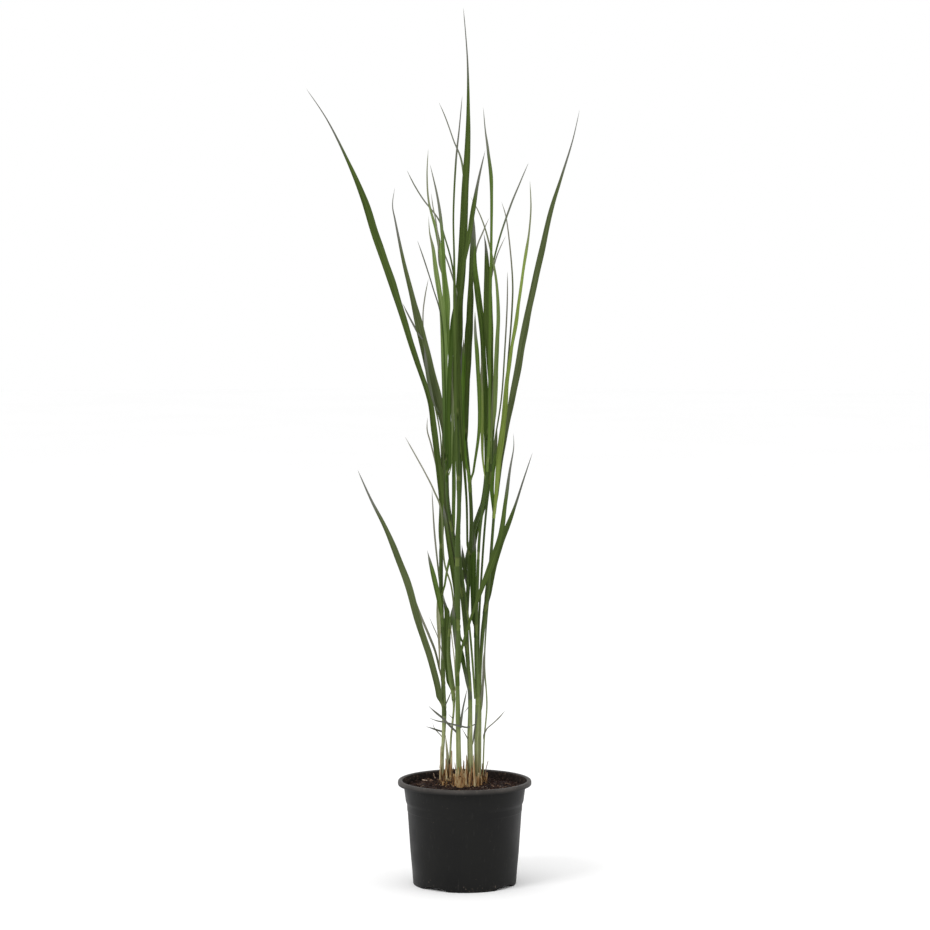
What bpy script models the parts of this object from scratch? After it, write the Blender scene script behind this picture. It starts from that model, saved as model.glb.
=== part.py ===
"""Clump of tall ornamental grass in a round plastic nursery pot.

The pot stands on z = 0 with its axis on the Z axis. -Y is the front, +X is to the right.
Every dimension below is in millimetres, and the meshes are made in metres.
"""

import math

import bmesh
import bpy
from mathutils import Vector

MM = 0.001
GAP = 0.3  # clearance between pieces that touch in the real plant

# Pot: outer profile from the base up, the lip over the top, then down the inside.
POT_HEIGHT = 133.0
WALL = 1.3
FLOOR = 1.8
BASE_RADIUS = 65.5
COLLAR_LOW = 102.0  # height where the tapered wall steps out into the collar
COLLAR_TOP = 106.0
WALL_RADIUS_40 = 69.0  # outer radius 40 mm above the base
WALL_RADIUS_94 = 73.1  # outer radius 94 mm above the base
COLLAR_RADIUS = 77.5  # outer radius of the collar near its top
COLLAR_STATION = 125.0  # height where the collar has that radius
LIP_RADIUS = 85.0
LIP_DROP = 6.2  # how far the outer skirt of the lip hangs below the rim
LIP_HOLLOW = 3.6  # how far the lip's underside lies below the rim
POT_SEGMENTS = 48

# Arched notches in the bottom edge, with a drain hole behind each.
NOTCH_COUNT = 4
NOTCH_FIRST = -126.0  # degrees from +X, the first notch is front left
NOTCH_HALF_ANGLE = 16.0
NOTCH_HEIGHT = 4.0
NOTCH_INNER_RADIUS = 50.0
NOTCH_RAMP = 3.0
DRAIN_RADIUS = 4.0
DRAIN_RING = 58.0
DRAIN_SIDES = 12
DRAIN_DEPTH = 9.0  # length of the cut

# Soil and rootstock.
SOIL_TOP = 124.0
CROWN_HEIGHT = 3.2
CROWN_CENTRE = (-3.0, 22.0)
CROWN_RADII = (35.0, 31.0)
CROWN_POINTS = 22
CROWN_WAVES = ((0.05, 3.0, 0.7), (0.035, 5.0, 2.0))  # share of the radius, waves a turn, phase
CROWN_LEVELS = ((1.0, 0.0), (0.96, 0.5), (0.86, 1.0))  # shares of the radii and of the height
CROWN_TOP = SOIL_TOP + GAP + CROWN_HEIGHT
FOOT = CROWN_TOP + GAP  # where the stems start
STUB_SIDES = 6
STUB_SINK = 1.0  # how far a stub's foot is above the rootstock's underside
STUB_LEVELS = ((0.0, 1.0), (0.55, 0.85), (1.0, 0.5))  # shares of the height and of the width
STUB_SLANT = 0.6  # rise of the cut end as a share of the width

# Stems and leaves.
STATION = 32.0  # spacing of the cross sections along a stem or a leaf
CURVE_STEPS = 12
CULM_SIDES = 8
THIN_CULM_SIDES = 6
WISP_WIDTH = 3.0  # a leaf narrower than this has no fold, and a stem fewer sides
LEAF_THICKNESS = 1.1
LEAF_FOLD = 0.16  # depth of the V fold as a share of the width
THIN_SHARE = 0.45  # thickness of a narrow leaf as a share of its width

# Cut stubble of last year on the rootstock: x, y, height, lean in x, lean in y, width.
STUBBLE = [
    (-2.0, 9.0, 27.0, 1.0, 1.0, 3.2),
    (3.0, 13.0, 34.0, -0.5, 0.5, 3.2),
    (0.5, 3.0, 17.0, 1.5, -1.0, 3.4),
    (-17.5, 25.0, 37.0, 1.0, 1.0, 3.0),
    (-22.5, 25.5, 27.0, -1.5, -1.0, 3.0),
    (-31.6, 36.0, 42.0, 1.0, -1.0, 2.0),
    (12.8, 0.4, 36.0, -1.8, -0.4, 2.8),
    (14.5, 5.5, 7.0, 1.0, -1.0, 5.0),
    (20.5, 9.5, 6.0, 1.0, -1.0, 4.0),
    (26.5, 24.0, 9.0, 2.0, 0.0, 3.4),
    (-13.5, 11.0, 9.0, -1.0, 0.0, 4.4),
    (-8.0, 22.0, 12.0, 0.0, 1.0, 3.4),
    (10.0, 34.0, 12.0, 0.0, 1.0, 3.6),
    (-4.0, 36.0, 9.0, -1.0, 1.0, 4.0),
    (-16.0, 43.0, 11.0, 0.0, 1.0, 3.6),
]

# Stems. Each point is x, y, z and width, from the rootstock up.
CULMS = {
    "culm_front": [
        (-6.5, 0, FOOT, 7.6), (-7.4, 0, 152, 7), (-8, 0, 182, 6.4), (-8.5, 0, 216, 6.2),
        (-9, 0, 250, 5.2), (-9.4, 0, 272, 5.8), (-8.8, 0, 288, 6.8), (-8.6, 0, 311, 7.2),
        (-9.1, 0, 363, 7.2), (-9.2, 0, 432, 6), (-7.1, 0, 480, 5.4), (-8.5, 0, 547, 5.2),
        (-9.5, 0, 591, 3.8),
    ],
    "culm_far_left": [
        (-28.6, 39, FOOT, 4.2), (-28.4, 41, 160, 4.2), (-27, 43.5, 184, 5), (-26.2, 46, 213, 6),
        (-27.4, 46, 244, 5.8), (-27.8, 46, 274, 6), (-27, 46, 299, 6), (-30, 46, 357, 5.6),
        (-30, 45, 415, 5.2), (-28, 44, 482, 4),
    ],
    "culm_left": [
        (-19, 33, FOOT, 3.2), (-18.8, 33, 150, 2.8), (-17.4, 33, 182, 2.8), (-15.4, 33, 202, 2.8),
        (-13.8, 33, 222, 3), (-14.8, 33, 240, 6.4), (-17.9, 34, 262, 6.8), (-20.5, 34, 294, 4.8),
        (-17.5, 34, 333, 4.6), (-7.5, 33, 369, 4.8), (3, 32, 410, 5.6), (13, 31, 453, 5.6),
        (24.5, 30, 483, 4.4),
    ],
    "culm_crossing": [
        (9, 5, FOOT, 5), (7.8, 6, 176, 5), (7.4, 7, 215, 5), (6.6, 7.6, 247, 5.2),
        (4.6, 8.6, 272, 4.8), (3.2, 9.4, 290, 4.6), (2.4, 10.2, 311, 6.2), (0.8, 11, 333, 6.6),
        (-2.6, 12.6, 361, 5.4), (-7, 15, 395, 4.6), (-14.5, 16, 440, 4.2), (-21.5, 16, 484, 4),
        (-23.5, 16, 539, 3.8),
    ],
    "culm_middle": [
        (7, 20, FOOT, 5.6), (6, 20, 181, 5.6), (7, 20, 232, 5.6), (3.5, 20, 294, 5.2),
        (2.5, 21, 335, 5), (5, 21, 386, 5), (8.5, 23, 449, 5), (7, 24, 500, 4.6),
        (1.5, 25, 564, 3.8),
    ],
    "culm_right": [
        (15.5, 14, FOOT, 5.6), (15, 14, 182, 5.6), (16, 13, 233, 5.2), (14.5, 13, 304, 5),
        (16, 14, 374, 4.2), (19, 14, 444, 3.6), (25.5, 15, 495, 3.2), (29, 16, 533, 3.2),
        (29, 16, 564, 3.2),
    ],
    "culm_right_thin": [
        (19, 20, FOOT, 2.8), (19, 20, 181, 2.8), (18, 20, 239, 2.8), (18, 20, 322, 2.8),
        (22, 21, 401, 2.8), (27, 22, 469, 2.8), (33.5, 23, 526, 2.8), (36.5, 24, 577, 3),
    ],
    "culm_right_back": [
        (19.4, 27, FOOT, 3.6), (19.8, 27, 205, 3.6), (20, 27, 267, 3.8), (22.4, 27, 311, 5.2),
        (25.2, 27, 336, 5.8), (28.2, 27, 361, 5.4), (30.5, 27, 379, 4.2), (34.5, 28, 430, 3.8),
        (37.5, 28, 471, 3.8),
    ],
    "culm_right_pale": [
        (23.5, 34, FOOT, 2), (25, 34, 178, 2), (28.5, 35, 224, 2), (25.5, 35, 275, 2),
        (27.5, 36.5, 323, 2), (33.5, 38.5, 395, 2), (37.5, 36, 468, 2),
    ],
    "culm_inner": [
        (13.2, 9.8, 235, 2.6), (9.8, 5.2, 285, 2.8), (5.4, 5.8, 333, 2.8), (-1, 9, 378, 3),
        (-6, 9, 419, 3), (-6.5, 9, 463, 2.8), (-4.5, 8, 514, 2.8), (-4.5, 8, 540, 2.8),
    ],
}

# Leaves that go on from the end of a stem: turn in degrees, then x, y, z and the width
# seen from the front.
END_LEAVES = {
    "blade_tallest": (10, [
        (-9.5, 0, 592, 5), (-10.9, -1, 648, 8.6), (-8.1, -1.6, 691, 11), (-7.9, -2, 711, 11.2),
        (-7.2, -2.4, 742, 10.8), (-4, -3, 780, 10.7), (-1.5, -5, 830, 10), (0.5, -7, 880, 8.8),
        (3.5, -9, 930, 7.6), (4.5, -15, 979, 4.6), (3.5, -23, 1041, 2), (-1.5, -30, 1104, 0.8),
    ]),
    "blade_right_arching": (-20, [
        (38, 28, 472, 5), (45.5, 30, 536, 6.4), (55, 30, 589, 7), (65, 32, 640, 9.4),
        (74, 35, 691, 9.4), (84, 40, 741, 8.2), (98.5, 48, 805, 7.4), (109.5, 57, 853, 5.6),
        (123, 68, 896, 3.4), (138, 79, 944, 1.6), (147, 85, 983, 0.6),
    ]),
    "blade_left_upright": (30, [
        (-23.5, 16, 540, 5), (-24.5, 16, 603, 6.4), (-25, 16, 666, 7), (-23.8, 15, 711, 9.6),
        (-23.3, 14, 742, 9.2), (-27.5, 13, 786, 6.4), (-35, 16, 826, 4.8), (-45, 21, 864, 2.8),
        (-47.5, 27, 899, 1.8), (-46, 30, 932, 0.6),
    ]),
    "blade_middle_narrow": (30, [
        (1.5, 25, 565, 5), (2.9, 25, 627, 6.4), (4.8, 26, 691, 10.1), (6.3, 26.4, 716, 8.5),
        (7.5, 26.8, 742, 8.6), (7.5, 27, 766, 6), (9.2, 29, 811, 4.6), (12, 30, 858, 0.8),
    ]),
    "blade_right_upright": (10, [
        (28.8, 16, 565, 3.6), (31.4, 16, 594, 3.6), (32.8, 16, 625, 4), (32.6, 15.8, 641, 5.7),
        (31.9, 15.5, 665, 8.7), (30.5, 14, 704, 11.6), (29.3, 10, 742, 11.5), (28, 5, 786, 6.4),
        (26.5, 3, 810, 2.8), (24, 2, 826, 0.8),
    ]),
    "blade_right_light": (-30, [
        (36.5, 24, 578, 5), (38.5, 23, 621, 6.4), (41, 21, 685, 5), (42.5, 17, 723, 4.4),
        (39.5, 7, 769, 3), (29.5, -7, 818, 2.2), (19.5, -16, 848, 1.6), (7.5, -20, 871, 0.6),
    ]),
    "blade_inner_long": (40, [
        (-4.5, 8, 541, 3.8), (-6, 8, 616, 4.6), (-7, 9, 691, 4.6), (-3.5, 10, 773, 3.8),
        (1.5, 14, 849, 3), (-3, 25, 912, 2.6), (-14, 32, 943, 1.8), (-23.5, 37, 970, 1.6),
        (-32.5, 40, 991, 0.6),
    ]),
    "blade_right_wisp": (0, [
        (37.5, 36, 469, 2.4), (42.5, 38, 544, 2.2), (49.5, 41, 599, 2.2), (55.5, 50, 665, 2.2),
        (60.5, 61, 728, 2.2), (61, 70, 773, 2), (54.5, 86, 839, 1.6), (47.5, 90, 866, 0.8),
    ]),
}

# Leaves that leave a stem from its side, in the same form.
SIDE_LEAVES = {
    "blade_left_arching": (20, [
        (-30.1, 40.6, 415, 3.5), (-30, 39.9, 448, 7), (-28.8, 39.9, 483, 7.6),
        (-32, 41.5, 518, 7.6), (-38.9, 46, 575, 7.6), (-44.6, 46, 614, 6.7), (-61.5, 46, 665, 7),
        (-77.5, 44, 716, 8.8), (-93.5, 42, 767, 10), (-111, 38, 817, 10), (-127, 32, 868, 8.2),
        (-148, 24, 918, 3.8), (-173, 15, 968, 1.6), (-199, 10, 1007, 0.6),
    ]),
    "blade_right_olive": (45, [
        (37.8, 23.4, 466, 3.2), (43.5, 21, 539, 6.4), (49.5, 20, 590, 6.4), (54, 17, 641, 5.2),
        (59, 13, 679, 5), (65.5, 8, 717, 5), (71, -1, 761, 4.2), (77, -15, 802, 3.6),
        (80.5, -25, 827, 2.2), (82.5, -37, 858, 1.6), (81, -45, 890, 0.6),
    ]),
    "blade_right_wide": (0, [
        (-0.8, 37, 388, 3), (4.3, 37, 407, 9.6), (9.3, 36.5, 429, 10), (13.8, 36, 451, 9.4),
        (20.1, 35.5, 470, 8.8), (25.1, 35, 487, 8.2), (29.5, 34, 525, 8.8), (28, 34, 583, 8.2),
        (25, 36, 640, 8.2), (23.3, 38, 682, 6.1), (21.8, 40, 710, 7.8), (17.7, 42.4, 742, 8),
        (14.6, 43.6, 767, 7.3), (12.2, 45, 789, 6.6), (12.5, 47, 824, 3.2), (11.5, 48, 849, 0.8),
    ]),
    "blade_right_wiry": (30, [
        (34.5, 26.8, 570, 2.6), (32, 28, 640, 2.6), (31.5, 29, 729, 2.6), (34.5, 32, 777, 2.2),
        (43.5, 38, 817, 2.2), (58, 44, 860, 2.2), (69.5, 48, 888, 1.6), (81, 50, 915, 0.8),
    ]),
    "blade_high_right": (40, [
        (29.5, 12.3, 527, 3.8), (31.5, 8, 590, 3.8), (31.5, 2, 666, 3.8), (32.5, -11, 755, 3.2),
        (33.5, -26, 836, 3), (33, -40, 892, 4.4), (29, -50, 928, 3.6), (25.5, -56, 953, 1.8),
        (23, -60, 980, 0.6),
    ]),
    "blade_high_middle": (40, [
        (3.5, 18, 409, 2.6), (2.4, 10, 488, 3), (-3, -2, 565, 3.8), (-6.5, -7, 647, 4),
        (-9.5, -9, 717, 4), (-4.2, -14, 770, 5), (2.7, -22, 807, 6.5), (9, -32, 844, 7),
        (13.5, -39, 872, 4.6), (18.5, -45, 898, 2.8), (25.5, -50, 928, 0.6),
    ]),
    "blade_high_left": (40, [
        (-9, -5, 505, 2.6), (-11.5, -9, 591, 2.8), (-12.2, -13, 667, 3.2), (-12.7, -16, 730, 3.8),
        (-13, -20, 790, 2.8), (-14, -28, 848, 2.6), (-11, -45, 912, 2.6), (-6.5, -61, 956, 1.6),
        (-3, -70, 994, 0.6),
    ]),
    "blade_left_slender": (35, [
        (-28.5, 41.5, 355, 2.6), (-23, 38, 393, 2.8), (-16, 38, 429, 3.8), (-14, 36, 487, 4.6),
        (-14, 31, 551, 4.6), (-17, 18, 634, 4.2), (-21, 5, 704, 4.2), (-25, -10, 773, 4),
        (-28.5, -24, 830, 3.8), (-33.5, -33, 869, 2.6), (-43, -40, 911, 0.6),
    ]),
    "blade_left_wiry": (0, [
        (-9.5, 3.7, 568, 2.2), (-14, 10, 653, 2.2), (-11.5, 20, 742, 2.2), (-16, 29, 786, 2.2),
        (-25, 38, 820, 2), (-33.5, 45, 844, 2), (-52, 52, 868, 1.8), (-64.5, 57, 888, 1.6),
        (-73.5, 60, 906, 0.8),
    ]),
    "blade_left_dark": (-10, [
        (-3.8, 16.9, 364, 3), (-8.4, 18.8, 392, 9.5), (-13.5, 19.4, 421, 11),
        (-18.6, 19.4, 450, 10.5), (-22.6, 19.6, 485, 7.5), (-23.5, 22, 520, 6.4),
        (-25, 25, 572, 7.6), (-34, 24, 615, 11.4), (-44, 20, 653, 12), (-56, 13, 704, 10.8),
        (-65.5, 5, 744, 7), (-77, -7, 792, 4.4), (-86.5, -21, 840, 2.2), (-90, -26, 861, 1.2),
        (-87, -30, 882, 0.6),
    ]),
    "blade_left_wisp": (0, [
        (-23, 13, 530, 2), (-25, 4, 647, 1.8), (-29, -3, 717, 1.8), (-40, -9, 758, 1.6),
        (-51, -13, 793, 1.6), (-59, -15, 816, 0.8),
    ]),
    "blade_left_hooked": (0, [
        (-30, 47, 478, 2), (-30.5, 44.5, 563, 1.8), (-41, 38, 621, 1.8), (-50.5, 35, 675, 1.8),
        (-53, 38, 718, 1.6), (-50.5, 39, 745, 1.6), (-46, 40, 768, 0.8),
    ]),
    "blade_left_light": (25, [
        (-27.5, 48.4, 462, 3.2), (-25.9, 48.5, 531, 6.6), (-25.3, 37, 601, 6.2),
        (-26.1, 34.5, 641, 5.7), (-26.9, 32, 672, 6.2), (-28.5, 27, 722, 6.2),
        (-30.2, 25, 741, 6.4), (-36, 20, 776, 6.6), (-39.5, 15, 805, 4.6), (-44, 12, 826, 1.8),
        (-45.5, 10, 847, 0.6),
    ]),
    "blade_middle_wisp": (0, [
        (2.5, 28.3, 553, 2.6), (7, 39, 678, 2.2), (9.5, 51, 754, 2), (14.5, 60, 803, 2),
        (23.5, 64, 828, 1.8), (31, 66, 845, 0.8),
    ]),
    "blade_right_pale": (0, [
        (32, 25.6, 508, 2.2), (37, 28, 554, 2), (46.5, 29, 615, 2), (51, 31, 678, 2),
        (54, 38, 735, 1.8), (54.5, 42, 777, 0.8),
    ]),
    "blade_right_thread": (0, [
        (29.5, 19, 562, 2), (31, 22, 666, 1.8), (31.5, 20, 748, 1.8), (39, 14, 792, 1.6),
        (51.5, 10, 822, 0.8),
    ]),
    "blade_middle_short": (30, [
        (7.5, 20, 501, 2.6), (12.5, 16, 534, 3), (18, 10, 575, 4.2), (18.5, 3, 622, 5.2),
        (15.6, -5, 673, 5.6), (13.4, -10, 704, 3.4), (13, -12, 728, 1),
    ]),
    "blade_left_inner": (10, [
        (-20.7, 13.6, 513, 3), (-19.1, 8, 533, 4.4), (-19.7, 1.5, 565, 5.5), (-20.1, -3, 604, 5.5),
        (-19.7, -5, 635, 5.5), (-18.4, -6, 660, 5.5), (-16.9, -6.5, 686, 5.8),
        (-14.7, -7, 717, 5.4), (-10.2, -8, 748, 0.9),
    ]),
    "blade_middle_light": (0, [
        (4.9, 20.8, 513, 3.3), (1.7, 18.5, 533, 3.8), (-0.2, 17, 552, 4.3), (-2.1, 16.5, 577, 4),
        (-2.3, 16, 615, 4.6), (-2.1, 15.5, 641, 5.8), (-1.7, 15, 666, 5.8), (-1.1, 14.5, 694, 0.9),
    ]),
    "blade_centre": (0, [
        (11.3, 15.6, 315, 2.5), (10.6, 16.2, 338, 4.3), (10.8, 16.8, 363, 6.3),
        (10.6, 17.2, 393, 7.8), (11.2, 17.4, 412, 7.3), (12.8, 18, 427, 3.8), (13.1, 19, 446, 0.9),
    ]),
    "blade_left_diagonal": (0, [
        (0.8, 12.8, 292, 2.5), (-3.4, 13, 303, 3), (-6.6, 13.2, 316, 3.6), (-8.6, 13.6, 335, 4.4),
        (-10.6, 14, 355, 5.1), (-11.6, 14, 374, 5.6), (-14.1, 14, 393, 6.1), (-17.9, 14, 418, 6.1),
        (-22.6, 14, 449, 5.1), (-25.5, 14, 469, 3.8), (-27.1, 14, 483, 0.9),
    ]),
    "blade_right_short": (0, [
        (36.6, 30.4, 472, 3.3), (35.7, 31, 487, 4.8), (34.7, 31.2, 500, 5.3),
        (35.7, 31.2, 519, 5.1), (37.3, 31.2, 532, 4.8), (38.9, 31.5, 544, 4.6),
        (40.5, 32, 564, 2.5), (41.5, 32.5, 579, 0.9),
    ]),
    "blade_far_left_inner": (0, [
        (-17.9, 36.2, 232, 3.1), (-20.4, 38, 250, 5.1), (-22.2, 39.5, 271, 5.6),
        (-23.4, 40.5, 294, 5.3), (-23.2, 40.5, 319, 6.1), (-22.5, 40, 341, 6.9),
        (-24.4, 39.5, 349, 4.6), (-25.8, 39, 356, 2.8), (-26.8, 38.5, 364, 0.9),
    ]),
    "blade_low_crossing": (0, [
        (4.5, 4.6, 237, 2.8), (3.2, 4.8, 248, 3.8), (2.4, 5, 260, 4), (-0.4, 5.6, 275, 4.8),
        (-3, 6, 289, 5.8), (-5.2, 6.4, 301, 3.8), (-8, 7, 313, 0.9),
    ]),
    "blade_side_crossing": (40, [
        (-7.8, -4.1, 256, 3), (-5, -6.6, 293, 3), (3, -9, 325, 3.6), (13, -13, 355, 3.8),
        (23.9, -17, 385, 5.8), (34.4, -22, 413, 7.4), (45, -28, 446, 5.8), (51, -37, 489, 4.6),
        (56.5, -50, 531, 2.8), (61, -57, 559, 1.2), (60.5, -60, 577, 0.6),
    ]),
    "blade_side_right": (-20, [
        (26.9, 30.8, 344, 4.6), (29.6, 31.4, 365, 8.4), (35.4, 33, 399, 10.2), (44, 40, 427, 9.2),
        (54.5, 47, 451, 7), (64.5, 55, 477, 3.8), (75.5, 66, 510, 2.2), (87.5, 75, 545, 0.6),
    ]),
    "blade_side_left": (0, [
        (-9.5, 4.3, 324, 2.2), (-12.6, 4.8, 345, 2.2), (-17, 2.6, 380, 2.2), (-26, 0, 413, 2.2),
        (-29.5, -8, 475, 2.2), (-38.5, -14, 502, 2.2), (-49.5, -20, 525, 1.8),
        (-63.5, -27, 551, 1.6), (-74.5, -30, 571, 0.8),
    ]),
    "blade_side_left_short": (0, [
        (-32.2, 45.4, 473, 2.2), (-34, 51, 516, 2.2), (-42.5, 60, 554, 2), (-48, 64, 574, 1.6),
        (-47.5, 66, 590, 0.8),
    ]),
    "blade_low_left": (15, [
        (-30.4, 43.4, 211, 3), (-32.2, 41, 226, 6.2), (-34.8, 39, 247, 8), (-43, 36, 280, 8.2),
        (-51.5, 33, 307, 8.8), (-60, 29, 334, 9), (-70, 21, 373, 9.8), (-83.5, 11, 412, 8.4),
        (-99, -3, 452, 5.8), (-117.5, -21, 491, 3), (-134, -35, 530, 0.8),
    ]),
    "blade_low_left_thin": (0, [
        (-28.5, 50, 246, 2.2), (-36.5, 50, 286, 2.8), (-45.5, 52, 310, 3.2), (-56.5, 56, 336, 2.8),
        (-68.5, 60, 369, 0.8),
    ]),
    "blade_low_left_short": (0, [
        (-28.5, 41.8, 325, 3.2), (-31.5, 37, 351, 5.6), (-38.5, 30, 385, 6.4),
        (-43.5, 25, 406, 4.2), (-47.5, 22, 423, 0.8),
    ]),
    "blade_low_left_wisp": (0, [
        (-30, 50, 361, 2.2), (-34.5, 52, 402, 2.2), (-39, 56, 447, 2.2), (-42, 60, 498, 0.8),
    ]),
}

# Colours (linear), roughness.
BLACK_PLASTIC = ((0.018, 0.018, 0.018), 0.55)
PEAT = ((0.013, 0.006, 0.004), 0.95)
ROOTSTOCK = ((0.16, 0.07, 0.025), 0.9)
STEM_GREEN = ((0.22, 0.27, 0.09), 0.5)
LEAF_GREEN = ((0.07, 0.11, 0.025), 0.45)


def clear_scene():
    for obj in list(bpy.data.objects):
        bpy.data.objects.remove(obj, do_unlink=True)


def make_material(name, look):
    colour, roughness = look
    material = bpy.data.materials.new(name)
    material.use_nodes = True
    shader = material.node_tree.nodes["Principled BSDF"]
    shader.inputs["Base Color"].default_value = (*colour, 1.0)
    shader.inputs["Roughness"].default_value = roughness
    return material


def add_object(name, bm, look, smooth_angle=40.0):
    """Turn a mesh in millimetres into an object in metres."""
    bmesh.ops.recalc_face_normals(bm, faces=bm.faces)
    bmesh.ops.scale(bm, vec=(MM, MM, MM), verts=bm.verts)
    mesh = bpy.data.meshes.new(name)
    bm.to_mesh(mesh)
    bm.free()
    mesh.shade_smooth()
    mesh.set_sharp_from_angle(angle=math.radians(smooth_angle))
    mesh.materials.append(make_material(name + "_material", look))
    obj = bpy.data.objects.new(name, mesh)
    bpy.context.scene.collection.objects.link(obj)
    return obj


def as_guide(obj):
    """Mark an object that only shapes another one."""
    obj.hide_render = True
    obj.display_type = "WIRE"
    return obj


def add_boolean(obj, other, operation):
    modifier = obj.modifiers.new(operation.lower(), "BOOLEAN")
    modifier.operation = operation
    modifier.solver = "EXACT"
    modifier.object = other


def bridge(bm, ring_a, ring_b):
    """Join two rings of the same length with quads."""
    count = len(ring_a)
    for i in range(count):
        j = (i + 1) % count
        bm.faces.new((ring_a[i], ring_a[j], ring_b[j], ring_b[i]))


def fan(bm, ring, point):
    """Close a ring with triangles to one point."""
    count = len(ring)
    for i in range(count):
        bm.faces.new((ring[i], ring[(i + 1) % count], point))


def notch_lift(angle):
    """How far the bottom edge is raised at an angle in degrees: four rounded arches."""
    spacing = 360.0 / NOTCH_COUNT
    offset = (angle - NOTCH_FIRST + spacing / 2) % spacing - spacing / 2
    share = offset / NOTCH_HALF_ANGLE
    if abs(share) >= 1.0:
        return 0.0
    return NOTCH_HEIGHT * math.sqrt(1.0 - share * share)


def pot_profile():
    """Radius, height and share of the notch lift, from the floor's underside round to its top."""
    rim = POT_HEIGHT
    roof = NOTCH_INNER_RADIUS + NOTCH_RAMP
    under = [
        (NOTCH_INNER_RADIUS, 0.0, 0.0),
        (roof, 0.0, 1.0),
        (BASE_RADIUS, 0.0, 1.0),
    ]
    outside = [
        (BASE_RADIUS + 0.6, 7.0),
        (BASE_RADIUS + 1.3, 17.0),
        (WALL_RADIUS_40, 40.0),
        (WALL_RADIUS_94, 94.0),
        (WALL_RADIUS_94 + 0.3, COLLAR_LOW),
        (WALL_RADIUS_94 + 1.9, COLLAR_TOP),
        (COLLAR_RADIUS, COLLAR_STATION),
        (COLLAR_RADIUS + 0.5, rim - LIP_HOLLOW),
    ]
    lip = [
        (LIP_RADIUS - 1.5, rim - LIP_HOLLOW),
        (LIP_RADIUS - 1.3, rim - LIP_DROP + 0.2),
        (LIP_RADIUS - 0.5, rim - LIP_DROP),
        (LIP_RADIUS, rim - LIP_DROP + 0.8),
        (LIP_RADIUS, rim - 2.2),
        (LIP_RADIUS - 0.7, rim - 0.7),
        (LIP_RADIUS - 2.3, rim),
        (LIP_RADIUS - 4.4, rim - 0.1),
        (LIP_RADIUS - 5.6, rim - 1.0),
    ]
    inside = [
        (COLLAR_RADIUS - WALL, COLLAR_STATION),
        (WALL_RADIUS_94 + 1.9 - WALL, COLLAR_TOP),
        (WALL_RADIUS_94 + 0.3 - WALL, COLLAR_LOW),
        (WALL_RADIUS_94 - WALL, 94.0),
        (WALL_RADIUS_40 - WALL, 40.0),
        (BASE_RADIUS + 0.6 - WALL, 7.0),
    ]
    floor = [
        (BASE_RADIUS - WALL, FLOOR, 1.0),
        (roof, FLOOR, 1.0),
        (NOTCH_INNER_RADIUS, FLOOR, 0.0),
    ]
    walls = [(radius, height, 0.0) for radius, height in outside + lip + inside]
    return under + walls + floor


def revolve(bm, profile, segments, first_angle):
    """Turn a profile of radius, height and lift share about Z and close it at both ends."""
    rings = []
    for radius, height, lifted in profile:
        ring = []
        for i in range(segments):
            angle = first_angle + 360.0 * i / segments
            turn = math.radians(angle)
            lift = lifted * notch_lift(angle)
            place = (radius * math.cos(turn), radius * math.sin(turn), height + lift)
            ring.append(bm.verts.new(place))
        rings.append(ring)
    for ring_a, ring_b in zip(rings, rings[1:]):
        bridge(bm, ring_a, ring_b)
    fan(bm, rings[0], bm.verts.new((0.0, 0.0, profile[0][1])))
    fan(bm, rings[-1], bm.verts.new((0.0, 0.0, profile[-1][1])))


def make_pot():
    bm = bmesh.new()
    revolve(bm, pot_profile(), POT_SEGMENTS, NOTCH_FIRST)
    pot = add_object("pot", bm, BLACK_PLASTIC)
    drains = bmesh.new()
    for i in range(NOTCH_COUNT):
        angle = math.radians(NOTCH_FIRST + i * 360.0 / NOTCH_COUNT)
        centre = Vector((DRAIN_RING * math.cos(angle), DRAIN_RING * math.sin(angle), NOTCH_HEIGHT))
        made = bmesh.ops.create_cone(
            drains,
            cap_ends=True,
            segments=DRAIN_SIDES,
            radius1=DRAIN_RADIUS,
            radius2=DRAIN_RADIUS,
            depth=DRAIN_DEPTH,
        )
        bmesh.ops.translate(drains, vec=centre, verts=made["verts"])
    cutter = as_guide(add_object("drain_cutter", drains, BLACK_PLASTIC))
    add_boolean(pot, cutter, "DIFFERENCE")
    return pot


def make_soil():
    """The peat fill: it follows the pot's inside at a small clearance."""
    inner = WALL + GAP + 0.1
    low = NOTCH_HEIGHT + FLOOR + GAP + 0.1
    profile = [
        (NOTCH_INNER_RADIUS - 1.0, FLOOR + GAP, 0.0),
        (NOTCH_INNER_RADIUS + NOTCH_RAMP - 0.5, low, 0.0),
        (BASE_RADIUS - inner, low, 0.0),
        (BASE_RADIUS + 0.6 - inner, low + 1.5, 0.0),
        (WALL_RADIUS_40 - inner, 40.0, 0.0),
        (WALL_RADIUS_94 - inner, 94.0, 0.0),
        (WALL_RADIUS_94 + 0.3 - inner, COLLAR_LOW + 0.3, 0.0),
        (WALL_RADIUS_94 + 1.9 - inner, COLLAR_TOP + 0.3, 0.0),
        (COLLAR_RADIUS - GAP - inner, SOIL_TOP, 0.0),
    ]
    bm = bmesh.new()
    revolve(bm, profile, POT_SEGMENTS, NOTCH_FIRST)
    return add_object("soil", bm, PEAT)


def crown_ring(bm, share, height):
    """An uneven oval round the rootstock's centre."""
    ring = []
    for i in range(CROWN_POINTS):
        angle = 2.0 * math.pi * i / CROWN_POINTS
        wave = 1.0 + sum(size * math.sin(count * angle + phase) for size, count, phase in CROWN_WAVES)
        x = CROWN_CENTRE[0] + CROWN_RADII[0] * share * wave * math.cos(angle)
        y = CROWN_CENTRE[1] + CROWN_RADII[1] * share * wave * math.sin(angle)
        ring.append(bm.verts.new((x, y, height)))
    return ring


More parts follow.
